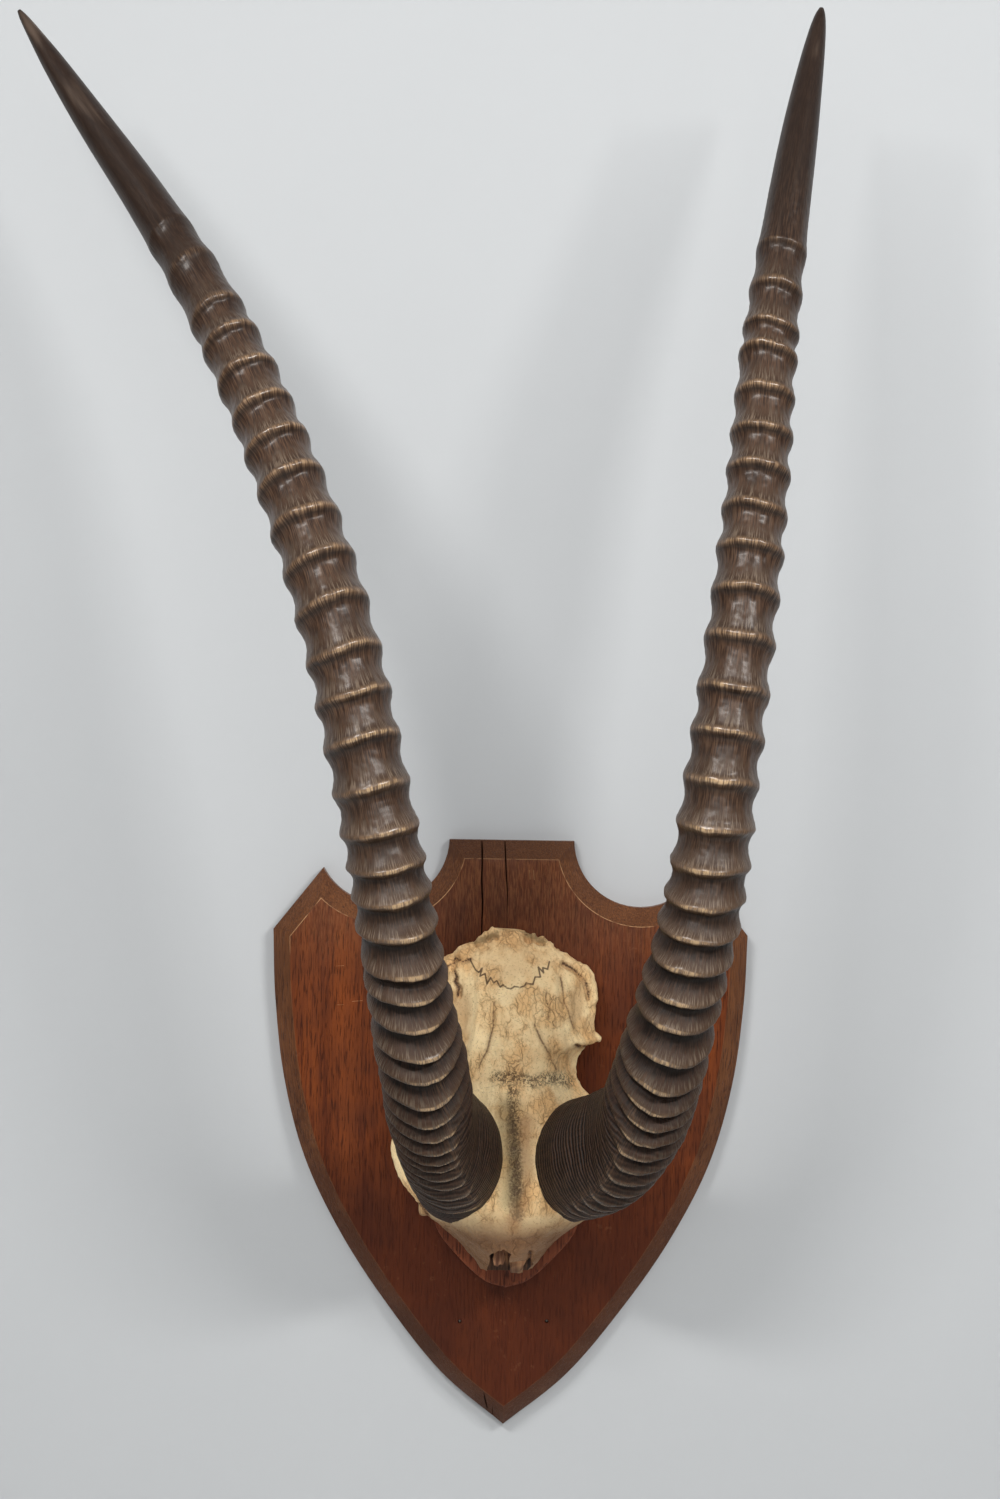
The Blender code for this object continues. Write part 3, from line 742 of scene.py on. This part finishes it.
bone, tree, shader = new_material("bone")
place = object_place(tree)
upward = split(tree, place)[2]
age = place_group(tree, aging, {"Place": place, "Size": 28})
clouds = clouds_of(tree, place, 60, 5)
grit = clouds_of(tree, place, 700, 3)
cells = add_node(tree, "ShaderNodeTexVoronoi", {"Vector": place, "Scale": 520}).outputs[0]
pits = ramp(tree, cells, 0.28, 0.1)
base = blend_colours(tree, ramp(tree, clouds, 0.35, 0.68), colour(255, 229, 178), colour(243, 200, 142))
warped = add_node(tree, "ShaderNodeTexNoise", {"Vector": place, "Scale": 90, "Detail": 3}).outputs["Color"]
shifted = add_node(tree, "ShaderNodeMix", {0: 0.012, 4: place, 5: warped}, data_type="VECTOR").outputs[1]


def veins(size, width):
    """Fine cracks in the bone, drawn out upwards and here and there broken."""
    drawn = add_node(tree, "ShaderNodeMapping", {"Vector": shifted, "Scale": (1, 1, 0.4)}).outputs[0]
    inputs = {"Vector": drawn, "Scale": size}
    cells = add_node(tree, "ShaderNodeTexVoronoi", inputs, feature="DISTANCE_TO_EDGE")
    return times(tree, ramp(tree, cells.outputs[0], width, 0.0), ramp(tree, clouds, 0.4, 0.6))


cracked = maths(tree, "MAXIMUM", veins(95, 0.035), times(tree, veins(260, 0.06), 0.6))
uneven = maths(tree, "SUBTRACT", maths(tree, "ADD", grit, clouds), 1.0)


def near_line(name, start, end, raggedness):
    """1 close to a painted line and 0 past a ragged edge, from two distances in mm."""
    ragged = maths(tree, "MULTIPLY_ADD", uneven, raggedness, attribute(tree, name))
    return ramp(tree, ragged, end, start)


inputs = {"Vector": place, "Scale": 480, "Detail": 2, "Distortion": 1.5}
winding = add_node(tree, "ShaderNodeTexNoise", inputs).outputs[0]
holes = times(tree, ramp(tree, winding, 0.47, 0.57), ramp(tree, attribute(tree, "porous"), 6.5, 1.5))
stained_and_shaded = layered(tree, base, [
    ((184, 134, 82), age["Grime"], 0.3),
    # Painted shade, with some dirt, in the sunk places of the bone
    ((170, 126, 82), ramp(tree, attribute(tree, "sunk"), -0.2, -2.2), 0.5),
    ((132, 98, 64), ramp(tree, grit, 0.56, 0.72), 0.35),
    ((120, 84, 50), cracked, 0.5),
    ((96, 68, 44), pits, 0.25),
    # Painted shade: darker brown towards the nasal end, below the horns' bases, where the horns shade it
    ((112, 75, 48), ramp(tree, upward, -26 * MM, -56 * MM), 0.92),
    ((198, 150, 100), ramp(tree, upward, 100 * MM, 132 * MM), 0.35),
    # A dull yellow-green stain down the middle between the horns, darkened further as painted shade from
    # them
    ((118, 100, 64), near_line("olive_stain_and_shade", 0, 15, 8), 0.7),
    ((146, 98, 58), near_line("brown", 0, 9, 8), 0.55),
    ((74, 56, 36), near_line("dark", 0, 6, 9), 0.62),
    ((84, 62, 44), holes, 0.75),
    ((126, 106, 72), near_line("hollow", 0.8, 3.6, 5), 0.72),
    ((132, 88, 52), near_line("crack", 0.2, 2.6, 4), 0.6),
    ((58, 36, 22), near_line("crack", 0.1, 1.1, 2.2), 0.9),
    ((160, 118, 76), near_line("hairline", 0, 2.6, 4), 0.4),
    ((92, 62, 38), near_line("hairline", 0, 0.8, 1.4), 0.75),
    ((70, 46, 28), ramp(tree, attribute(tree, "seam"), 0.75, 0.3), 0.85),
])
dull = ramp(tree, clouds, 0.3, 0.7, 0.5, 0.68)
set_inputs(tree, shader, {"Base Color": stained_and_shaded, "Roughness": dull, "Specular IOR Level": 0.3})
relief = maths(tree, "MULTIPLY_ADD", pits, -0.5, grit)
relief = maths(tree, "MULTIPLY_ADD", holes, -1.2, relief)
relief = maths(tree, "MULTIPLY_ADD", cracked, -1.2, relief)
set_bump(tree, shader, relief, 0.45 * MM)


def torn_material(name, dark, light):
    """The raw inside of the bone where it is broken, splintered along its length, with painted shade
    darkening it towards the bottom of the break.
    """
    material, tree, shader = new_material(name)
    place = object_place(tree)
    splinters = stretched_noise(tree, place, 420, 0.12, 4)
    height = split(tree, place)[2]
    tone = blend_colours(tree, ramp(tree, splinters, 0.36, 0.64), dark, light)
    # Painted shade: darker towards the bottom of the break
    tone = lay_over(tree, tone, (34, 20, 13), ramp(tree, height, -71 * MM, -80 * MM), 0.8)
    set_inputs(tree, shader, {"Base Color": tone, "Roughness": 0.85})
    set_bump(tree, shader, splinters, 1.5 * MM)
    return material


torn_bone = torn_material("torn_bone", colour(52, 30, 19), colour(172, 122, 86))
splintered_bone = torn_material("splintered_bone", colour(98, 62, 42), colour(168, 122, 88))
broken_plate = torn_material("broken_plate", colour(150, 104, 74), colour(196, 150, 110))
NASAL_BREAKS_MM = [
    ([(-14, -90), (-12.2, -76.7), (-10.7, -71.3), (-11.3, -67.4), (-9.4, -65.2), (-7.5, -64.6),
      (-5.3, -62.4), (-3.6, -62.8), (-2, -61.2), (0.7, -63.4), (3.5, -65), (2.2, -68), (1.9, -70.5),
      (3.1, -76.5), (3.2, -90)], 17, splintered_bone),
    ([(-14, -90), (-12, -76.7), (-10.5, -71.3), (-11.1, -67.5), (-9.4, -65.4), (-8, -67.2), (-8.9, -71),
      (-7.9, -74.8), (-5.6, -75.9), (-4.1, -74.1), (-1.9, -74.6), (-0.9, -71), (-1.4, -66.8), (0.6, -63.6),
      (3.3, -65.1), (2, -68), (1.7, -70.5), (2.9, -76.5), (3, -90)], 29, torn_bone),
    ([(2.5, -90), (2.6, -71.6), (7, -71.1), (11, -71.5), (15.8, -71), (13.5, -90)], 21, broken_plate),
    ([(10.4, -90), (11.4, -76.4), (13.5, -72), (16.2, -70.7), (17.2, -73.5), (18, -76.3),
      (19.8, -79.2), (20, -90)], 30, torn_bone),
]
skull = add_object("skull_cap", bm, [bone], 55)
for height in SKULL_SCREW_HEIGHTS:
    cut(skull, screw_hole(height, SKULL_SCREW), torn_bone)
for outline_mm, depth, inside in NASAL_BREAKS_MM:
    cut(skull, prism(outline_mm, SKULL_FRONT, SKULL_FRONT - depth * MM), inside)
places = np.array([(vert.co.x, vert.co.z) for vert in skull.data.vertices]) / MM
for name, lines in (
    ("seam", [SEAM_MM]),
    ("hairline", HAIRLINES_MM),
    ("crack", DEEP_CRACKS_MM),
    ("hollow", HOLLOWS_MM),
    ("porous", POROUS_MM),
    ("olive_stain_and_shade", OLIVE_STAIN_AND_SHADE_MM),
    ("dark", DARK_STAIN_MM),
    ("brown", BROWN_STAIN_MM),
):
    paint_points(skull, name, line_distance(places, lines))
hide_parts("skull")
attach(skull, "root")


# Horns
# Two hollow sheaths of black-brown keratin on the skull's bony cores. Each has grown ring on ring from
# its base, with a blunt golden bead on every ring, and runs out in a smooth worn tip.
LEFT_ROUTE_MM = [
    (-30, -62, -17), (-33, -88, -5), (-38, -125, 14), (-46, -162, 41), (-55, -192, 81),
    (-65, -216, 136), (-76, -230, 198), (-90, -237, 265), (-105, -238, 330), (-128, -229, 400),
    (-160, -208, 476), (-195, -183, 543), (-235, -160, 605), (-280, -139, 669), (-327, -121, 738),
]
RIGHT_ROUTE_MM = [
    (33, -62, -11), (46, -88, -4), (61, -118, 8), (78, -147, 30), (92, -173, 69),
    (104, -195, 122), (116, -210, 181), (123, -218, 244), (130, -221, 305), (137, -220, 368),
    (144, -213, 436), (150, -204, 509), (160, -188, 583), (173, -164, 661), (188, -140, 741),
]
INSIDE_SKULL = 28 * MM
SHEATH_DEPTH = 9 * MM
LEFT_WIDTH_MM = [
    (0, 66), (0.05, 62), (0.1, 55.5), (0.2, 48), (0.3, 44.5), (0.4, 43), (0.5, 42), (0.6, 38.5),
    (0.7, 34.5), (0.8, 28.5), (0.88, 23), (0.94, 16), (0.975, 9.5), (0.992, 5.5), (1, 2.2),
]
RIGHT_WIDTH_MM = [
    (0, 66), (0.05, 63), (0.1, 58), (0.2, 49), (0.3, 46), (0.4, 42), (0.5, 39), (0.6, 36.5),
    (0.7, 33), (0.8, 28), (0.88, 23.5), (0.94, 17), (0.975, 11.5), (0.992, 7), (1, 2.6),
]
HORN_DEPTH_RATIO = [(0, 1.19), (0.2, 1.2), (0.6, 1.15), (1, 1)]
LEFT_RINGS_MM = [
    17, 29, 42, 55, 64, 74, 81, 90, 101, 112, 125, 141, 155, 173, 190, 204, 226, 246, 265, 286, 313,
    342, 368, 393, 422, 449, 476, 502, 527, 552, 577, 603, 625, 662, 692,
]
RIGHT_RINGS_MM = [
    10, 19, 28, 37, 46, 56, 66, 76, 87, 98, 109, 120, 133, 151, 172, 188, 207, 226, 245, 266, 290,
    319, 347, 374, 404, 432, 458, 482, 506, 529, 554, 579, 594, 620, 648,
]
FIRST_CREST_MM = -12
RING_HEIGHT_MM = [
    (0, 1.6), (30, 2.8), (60, 4.8), (100, 6.4), (140, 6.8), (220, 6.2), (320, 5), (520, 4.2), (590, 3.5),
    (650, 2.4), (700, 1.2), (730, 0.4),
]
# Rows of the phase from one crest to the next, height, bead, teeth and painted shade in the furrows
RING_PROFILE = [
    (0, 1, 1, 0.4, 0), (0.05, 0.96, 1, 0.9, 0), (0.1, 0.88, 0.5, 1, 0), (0.18, 0.72, 0, 0.7, 0),
    (0.3, 0.46, 0, 0.3, 0.1), (0.42, 0.24, 0, 0, 0.4), (0.55, 0.07, 0, 0, 0.75), (0.7, 0, 0, 0, 1),
    (0.79, 0.1, 0, 0, 1), (0.85, 0.45, 0.3, 0.4, 0.9), (0.9, 0.8, 0.8, 0.6, 0.4),
    (0.95, 0.96, 1, 0.5, 0), (1, 1, 1, 0.4, 0),
]
HIGH_RING_PROFILE = [
    (0, 1, 1, 0, 0), (0.05, 0.93, 0.7, 0.3, 0.1), (0.1, 0.76, 0.1, 0.8, 0.5), (0.16, 0.62, 0, 0.8, 0.2),
    (0.3, 0.44, 0, 0.5, 0), (0.5, 0.2, 0, 0.1, 0), (0.7, 0.02, 0, 0, 0), (0.8, 0.05, 0, 0, 0.2),
    (0.88, 0.36, 0, 0, 0.7), (0.93, 0.72, 0.4, 0, 0.5), (0.965, 0.92, 0.9, 0, 0.1), (1, 1, 1, 0, 0),
]
RING_TILT = 3.5
HIGH_TILT = -1.6
LOW_DROOP = 5
HIGH_DROOP = -2.2
RING_CURL = 9
SHOULDER_MM = [(12, 0), (26, 1.5), (40, 5.5), (54, 9.5), (72, 8), (100, 3), (130, 0)]
KNOBS = 2.4 * MM
CREST_SHARE = 0.6
HORN_ROUND = 100
TIP_LENGTH = 0.6 * MM
LAST_RING_FALL_MM = 18
LAST_GAP_MM = 30
GROWTH_LINE_GAP = 2.4 * MM
RING_MARKS = ("crest", "bead", "teeth", "groove_shade", "lobe")
FINE_STEP = 0.75 * MM
COARSE_STEP = 1.2 * MM
# Where along the horn each of these goes from none to full, in mm
LOW_RINGS_MM = (190, 80)
HIGH_RINGS_MM = (200, 340)
SETTLING_MM = (0, 40)
LOBE_MM = (120, 75)
RING_END_MM = (730, 590)
NARROW_BEADS_MM = (330, 220)


def stations_along(length):
    """Distances along the horn, closer together where the rings are."""
    places = [-SHEATH_DEPTH]
    while places[-1] < length - 2 * MM:
        share = held(places[-1] / (300 * MM))
        places.append(places[-1] + FINE_STEP + (COARSE_STEP - FINE_STEP) * share)
    return places + [length - TIP_LENGTH, length]


def ring_at(crests, place):
    """The share of the way from one crest to the next, and their distance in mm. Past the last crest the
    share goes on from 1."""
    for low, high in zip(crests, crests[1:]):
        if place <= high:
            return (place - low) / (high - low), high - low
    return 1 + (place - crests[-1]) / LAST_RING_FALL_MM, LAST_GAP_MM


def reached(place, start_mm, end_mm):
    """How far a place on the horn has come from the start to the end, held between 0 and 1."""
    return held((place / MM - start_mm) / (end_mm - start_mm))


def horn_noise(sideways, forward, place, fineness, length_mm, start=0):
    """Noise over the horn, with spots of about that length along it."""
    return noise.noise(Vector((sideways * fineness, forward * fineness, place / (length_mm * MM) + start)))


def horn_frames(route_mm, widths_mm):
    """Distances along the horn. Each has its middle, the ways sideways and forward, and half widths."""
    route = curve_through([Vector(point) * MM for point in route_mm], 24)
    lengths = [-INSIDE_SKULL]
    for a, b in zip(route, route[1:]):
        lengths.append(lengths[-1] + (b - a).length)
    rows = [(length, *point) for length, point in zip(lengths, route)]
    widths = [tuple(row) for row in curve_through(widths_mm, 6)]
    length = lengths[-1]
    stations = stations_along(length)
    frames = []
    for place in stations:
        centre = Vector(read_rows(rows, place))
        ahead = Vector(read_rows(rows, min(place + 4 * MM, length)))
        behind = Vector(read_rows(rows, max(place - 4 * MM, -INSIDE_SKULL)))
        along = (ahead - behind).normalized()
        across = (Vector((1, 0, 0)) - along * along.x).normalized()
        share = max(place, 0) / length
        width = read_rows(widths, share)[0] * MM / 2
        depth = width * read_rows(HORN_DEPTH_RATIO, share)[0]
        frames.append((centre, across, across.cross(along), width, depth))
    return stations, frames


def ring_shape(phase, gap, forward, high):
    """Height, bead, teeth and the painted shade in the furrows by the beads, at one phase of a ring.
    Rings close together are rolled, and high on the horn their sides are soft."""
    if phase > 1:
        return 0.0, 0.0, 0.0, 0.0
    lower, upper = read_rows(RING_PROFILE, phase), read_rows(HIGH_RING_PROFILE, phase)
    height, face, spikes, hollow = [a + (b - a) * high for a, b in zip(lower, upper)]
    rolls = min(max((17 - gap) / 7, 0), 0.6)
    height += (abs(math.cos(math.pi * phase)) ** 0.85 - height) * rolls
    softened = (0.5 + 0.5 * math.cos(math.tau * (phase + 0.04))) ** 1.2
    height += (softened - height) * high * min(1, 1.3 * (1 - max(forward, 0)))
    return height, face, spikes, hollow


def horn_mesh(route_mm, widths_mm, rings_mm, inward):
    """The sheath's surface, with what its material reads for each point."""
    stations, frames = horn_frames(route_mm, widths_mm)
    crests = [FIRST_CREST_MM, *rings_mm]
    bm, steps = rolled_grid(HORN_ROUND, len(stations) - 1)
    grown = bm.verts.layers.float_vector.new("grown")
    crest, bead, teeth, groove_shade, lobe = [bm.verts.layers.float.new(name) for name in RING_MARKS]
    for vert, (around, along) in zip(bm.verts, steps):
        angle = math.tau * (around % HORN_ROUND) / HORN_ROUND
        sideways, forward = math.cos(angle), math.sin(angle)
        inside = sideways * inward
        centre, across, front, width, depth = frames[along]
        place = stations[along]
        low = reached(place, *LOW_RINGS_MM)
        high = reached(place, *HIGH_RINGS_MM)
        settled = reached(place, *SETTLING_MM)
        # The rings wander, droop away from the front and tilt
        wobble = horn_noise(sideways, forward, place, 0.9, 45)
        wobble += 0.3 * horn_noise(sideways, forward, place, 4, 20)
        droop = LOW_DROOP + (HIGH_DROOP - LOW_DROOP) * high
        tilt = RING_TILT + (HIGH_TILT - RING_TILT) * high
        shift = droop * (1 - forward) - tilt * inside + RING_CURL * max(inside, 0) ** 2 * low
        phase, gap = ring_at(crests, place / MM + (wobble * (2 + low) - shift) * settled)
        height, face, spikes, hollow = ring_shape(phase, gap, forward, high)
        # They stand highest at the front, and almost fade on the lobe
        inner = held((inside - 0.38) / 0.2) * reached(place, *LOBE_MM)
        strength = 0.5 + 0.12 * high + (0.62 - 0.12 * high) * max(forward, 0) ** 1.3
        strength *= 1 + (0.5 - 0.2 * high) * horn_noise(sideways, forward, place, 1, 28, 9)
        strength = (strength + 0.3 * max(-inside, 0) * low) * (1 - 0.8 * inner)
        swell = read_rows(RING_HEIGHT_MM, place / MM)[0] * MM * strength
        rise = swell * (height - 1 + CREST_SHARE if phase <= 1 else CREST_SHARE * max(0, 2 - phase) ** 2)
        rise += 0.35 * MM * horn_noise(sideways, forward, place, 9, 3) * min(1, swell / MM / 3)
        rise += 0.5 * MM * horn_noise(sideways, forward, place, 2.2, 160, 4) * min(1, width / (15 * MM))
        # Knobs stand in a column between the lobe and the front
        column = math.exp(-((inside - 0.45) / 0.13) ** 2) * low * max(forward, 0) * settled
        knob = max(0, 0.4 + noise.noise(Vector((place / (5 * MM), inward, 0))))
        rise += KNOBS * column * knob
        narrowing = read_rows(SHOULDER_MM, place / MM)[0] * MM * max(inside, 0)
        wide, deep = max(width + rise - narrowing, 0.3 * MM), max(depth + rise, 0.3 * MM)
        if along == len(stations) - 1:
            wide = deep = 0.0
        vert.co = centre + across * wide * sideways + front * deep * forward
        # What the material reads
        vert[grown] = Vector((sideways * width, forward * width, place))
        plain = 1 - 0.7 * inner
        vert[crest] = height * plain
        fading = reached(place, *RING_END_MM)
        # The bead mark, which carries the gold and the painted glint, is strongest towards the front; the
        # knobs get it too, as painted glints
        narrow = reached(place, *NARROW_BEADS_MM)
        frontwards = held(0.96 * forward + 0.28 * inside)
        gold_and_glint_front = 0.3 - 0.12 * narrow + (0.7 + 0.12 * narrow) * frontwards ** (2 + 3.5 * narrow)
        vert[bead] = face * plain * gold_and_glint_front * fading + 0.6 * column * knob
        vert[teeth] = spikes * plain * min(1, strength) * fading
        vert[groove_shade] = hollow * plain * fading
        vert[lobe] = inner
    close_tube(bm)
    return bm


keratin, tree, shader = new_material("horn")
grown = attribute(tree, "grown", "Vector")
distance = split(tree, grown)[2]
crest, bead, teeth, groove_shade, lobe = [attribute(tree, name) for name in RING_MARKS]


def from_base(start_mm, end_mm, low=0.0, high=1.0):
    """Goes smoothly from low to high between two distances along the horn."""
    return ramp(tree, distance, start_mm * MM, end_mm * MM, low, high)


fibres = stretched_noise(tree, grown, 1500, 0.06, 3)
strands = stretched_noise(tree, grown, 330, 0.07, 3)
blotches = clouds_of(tree, grown, 34, 4)
upper = from_base(90, 290)
low_tone = blend_colours(tree, ramp(tree, fibres, 0.35, 0.65), colour(21, 12, 8), colour(62, 40, 28))
high_tone = blend_colours(tree, ramp(tree, fibres, 0.38, 0.66), colour(44, 30, 23), colour(88, 66, 51))
base = blend_colours(tree, upper, low_tone, high_tone)
pale_strands = times(tree, ramp(tree, strands, 0.5, 0.72, 0, 0.3), from_base(160, 320, 0.5, 1))
# Painted sheen: paler where each segment swells towards its crest, in a belt along the middle of the horn
painted_sheen = maths(tree, "SUBTRACT", ramp(tree, crest, 0.25, 0.8, 0, 0.2), times(tree, bead, 0.4))
sheen_belt = times(tree, from_base(80, 170, 0.25, 0.9), from_base(380, 260, 0.1, 1))
# Pale strands and dark blotches, then the painted sheen and the painted shade in the furrows by the beads
base = layered(tree, base, [
    ((100, 82, 68), pale_strands, 1),
    ((40, 29, 24), ramp(tree, blotches, 0.5, 0.7), 0.45),
    ((106, 84, 68), painted_sheen, sheen_belt),
    ((17, 12, 9), groove_shade, 0.9),
])

# Golden beads with a painted glint on them at the front, and the toothed edges of the rings
farther = from_base(110, 270)
gold = blend_colours(tree, farther, colour(142, 114, 88), colour(160, 130, 100))
shaded = blend_colours(tree, farther, colour(44, 29, 19), colour(86, 62, 43))
bronze = blend_colours(tree, ramp(tree, fibres, 0.42, 0.62), shaded, gold)
base = blend_colours(tree, times(tree, bead, 0.8), base, bronze)
# Painted glint: pale gold on the middle of each bead at the front
wear_and_glint = times(
    tree,
    ramp(tree, bead, 0.55, 0.9),
    ramp(tree, fibres, 0.4, 0.58, 0.2, 1),
    ramp(tree, strands, 0.4, 0.54, 0.25, 1),
    from_base(430, 320, 0.2, 0.8),
    from_base(50, 130, 0.25, 1),
)
# Dark teeth and pale fibre ends above each bead; the pale ends are partly a painted glint
dark_teeth = times(tree, teeth, ramp(tree, fibres, 0.5, 0.58))
pale_teeth_and_glint = times(tree, teeth, ramp(tree, fibres, 0.5, 0.42))

# The dark streaked tip, and the growth lines near the base with painted glints on their tops
to_tip = from_base(560, 720)
streaks = ramp(tree, stretched_noise(tree, grown, 70, 0.14, 3), 0.56, 0.74)
unsteady = maths(tree, "MULTIPLY_ADD", blotches, 8 * MM, distance)
growth_lines = maths(tree, "SINE", times(tree, unsteady, math.tau / GROWTH_LINE_GAP))
near_base = maths(tree, "MAXIMUM", from_base(140, 30, 0, 0.6), lobe)
lined = times(tree, ramp(tree, growth_lines, 0.2, -0.8), near_base)
glinting_line_tops = times(tree, ramp(tree, growth_lines, 0.3, 1), near_base)
base = layered(tree, base, [
    ((204, 173, 132), wear_and_glint, 1),
    ((28, 20, 16), dark_teeth, 0.5),
    ((158, 138, 118), pale_teeth_and_glint, from_base(60, 220, 0.15, 0.45)),
    ((32, 20, 13), to_tip, 0.85),
    ((130, 112, 98), times(tree, streaks, to_tip), 0.3),
    ((12, 9, 8), lined, 0.7),
    ((96, 76, 63), glinting_line_tops, 0.45),
])

# Dry near the base, polished on the beads and higher up, with a fine relief of fibres
dry = maths(tree, "MULTIPLY_ADD", strands, 0.15, from_base(120, 320, 0.44, 0.29))
dry = maths(tree, "MULTIPLY_ADD", to_tip, 0.08, dry)
broken = ramp(tree, fibres, 0.56, 0.44, 0.45, 1)
broken = maths(tree, "MAXIMUM", broken, from_base(160, 300, 0, 0.85))
polished = times(tree, ramp(tree, bead, 0.2, 1), broken)
polished = maths(tree, "MAXIMUM", polished, from_base(200, 360, 0, 0.14))
set_inputs(tree, shader, {"Base Color": base, "Roughness": dry, "Specular IOR Level": 0.2})
set_inputs(tree, shader, {"Coat Weight": polished, "Coat Roughness": 0.24})
relief = maths(tree, "MULTIPLY_ADD", growth_lines, near_base, fibres)
relief = maths(tree, "MULTIPLY_ADD", times(tree, crest, fibres), 1.6, relief)
relief = maths(tree, "MULTIPLY_ADD", strands, 0.8, relief)
relief = times(tree, relief, from_base(160, 320, 1, 0.4))
set_bump(tree, shader, relief, 0.28 * MM)


for side, route, widths, rings, inward in (
    ("left", LEFT_ROUTE_MM, LEFT_WIDTH_MM, LEFT_RINGS_MM, 1),
    ("right", RIGHT_ROUTE_MM, RIGHT_WIDTH_MM, RIGHT_RINGS_MM, -1),
):
    horn = add_object(side + "_horn_sheath", horn_mesh(route, widths, rings, inward), [keratin], 70)
    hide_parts(side + "_horn")
    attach(horn, "root")


# Fixings
# A brass keyhole plate let into the board's back with two small screws hangs the trophy, and two long
# steel screws from the back hold board, block and skull cap together. Two old nails are left in the
# board's front, their heads punched below its face.
def metal_material(name, light, dark, roughness):
    """Old metal, duller and darker where it is grimy."""
    material, tree, shader = new_material(name)
    place = object_place(tree)
    age = place_group(tree, aging, {"Place": place, "Size": 160})
    brushed = clouds_of(tree, place, 2600, 2)
    tone = blend_colours(tree, age["Grime"], light, dark)
    tone = blend_colours(tree, age["Scuffs"], tone, light)
    dull = ramp(tree, age["Grime"], 0, 1, roughness, roughness + 0.3)
    set_inputs(tree, shader, {"Base Color": tone, "Metallic": 1.0, "Roughness": dull})
    set_bump(tree, shader, brushed, 0.05 * MM)
    return material


brass = metal_material("aged_brass", colour(196, 160, 96), colour(110, 80, 44), 0.3)
steel = metal_material("dull_steel", colour(176, 172, 166), colour(92, 84, 78), 0.35)
KEYHOLE_RADIUS = 4.6 * MM
KEYHOLE_DROP = 5 * MM
KEYHOLE_SLOT = Vector((4.5, 0, 13)) * MM
SCREW_SLOT = 0.9 * MM
HEAD_EDGE = 0.2 * MM
NAIL_HEAD = 1.1 * MM


def hang(thing, node):
    """Puts a finished piece in the place of the part's node."""
    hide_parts(node)
    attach(thing, "root")


bm = box(PLATE_SIZE.x, PLATE_SIZE.z, PLATE_Z, PLATE_SIZE.y, 0)
corners = [edge for edge in bm.edges if abs(edge.verts[0].co.y - edge.verts[1].co.y) > MM]
bmesh.ops.bevel(bm, geom=corners, offset=MM, segments=4, profile=0.5, affect="EDGES")
plate = add_object("keyhole_plate", bm, [brass], 30)
through = (PLATE_SIZE.y + MM, -MM)
cut(plate, turned(0, PLATE_Z - KEYHOLE_DROP, [(KEYHOLE_RADIUS, out) for out in through]))
slot_middle = PLATE_Z - KEYHOLE_DROP + KEYHOLE_SLOT.z / 2
cut(plate, box(KEYHOLE_SLOT.x, KEYHOLE_SLOT.z, slot_middle, *through))
for height in PLATE_SCREW_HEIGHTS:
    cut(plate, screw_hole(height, PLATE_SCREW))
hang(plate, "hanger_plate")

for kind, screw, heights, metal, slot in (
    ("hanger_screw", PLATE_SCREW, PLATE_SCREW_HEIGHTS, brass, "brass"),
    ("skull_screw", SKULL_SCREW, SKULL_SCREW_HEIGHTS, steel, "steel"),
):
    for end, height in zip(("upper", "lower"), heights):
        head, *rest = screw_profile(screw, 0)
        rows = [(head[0] - HEAD_EDGE, head[1]), (head[0], head[1] + HEAD_EDGE), *rest]
        piece = add_object(f"{kind}_{end}_turned", turned(0, height, rows), [metal], 35)
        slot_floor = screw["sunk"] + screw["head"] * 0.25
        cut(piece, box(screw["head"] * 3, SCREW_SLOT, height, slot_floor, -MM))
        hang(piece, f"{kind}_{end}")

for side, (x, z) in zip(("left", "right"), NAIL_HOLES_MM):
    floor = SHIELD_THICK - NAIL_HOLE_DEPTH
    rows = [(NAIL_HEAD, floor), (NAIL_HEAD, floor + MM), (NAIL_HEAD * 0.7, floor + 1.4 * MM),
            (0.1 * MM, floor + 1.6 * MM)]
    nail = add_object(side + "_board_nail", turned(x * MM, z * MM, rows), [steel], 50)
    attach(nail, "root")
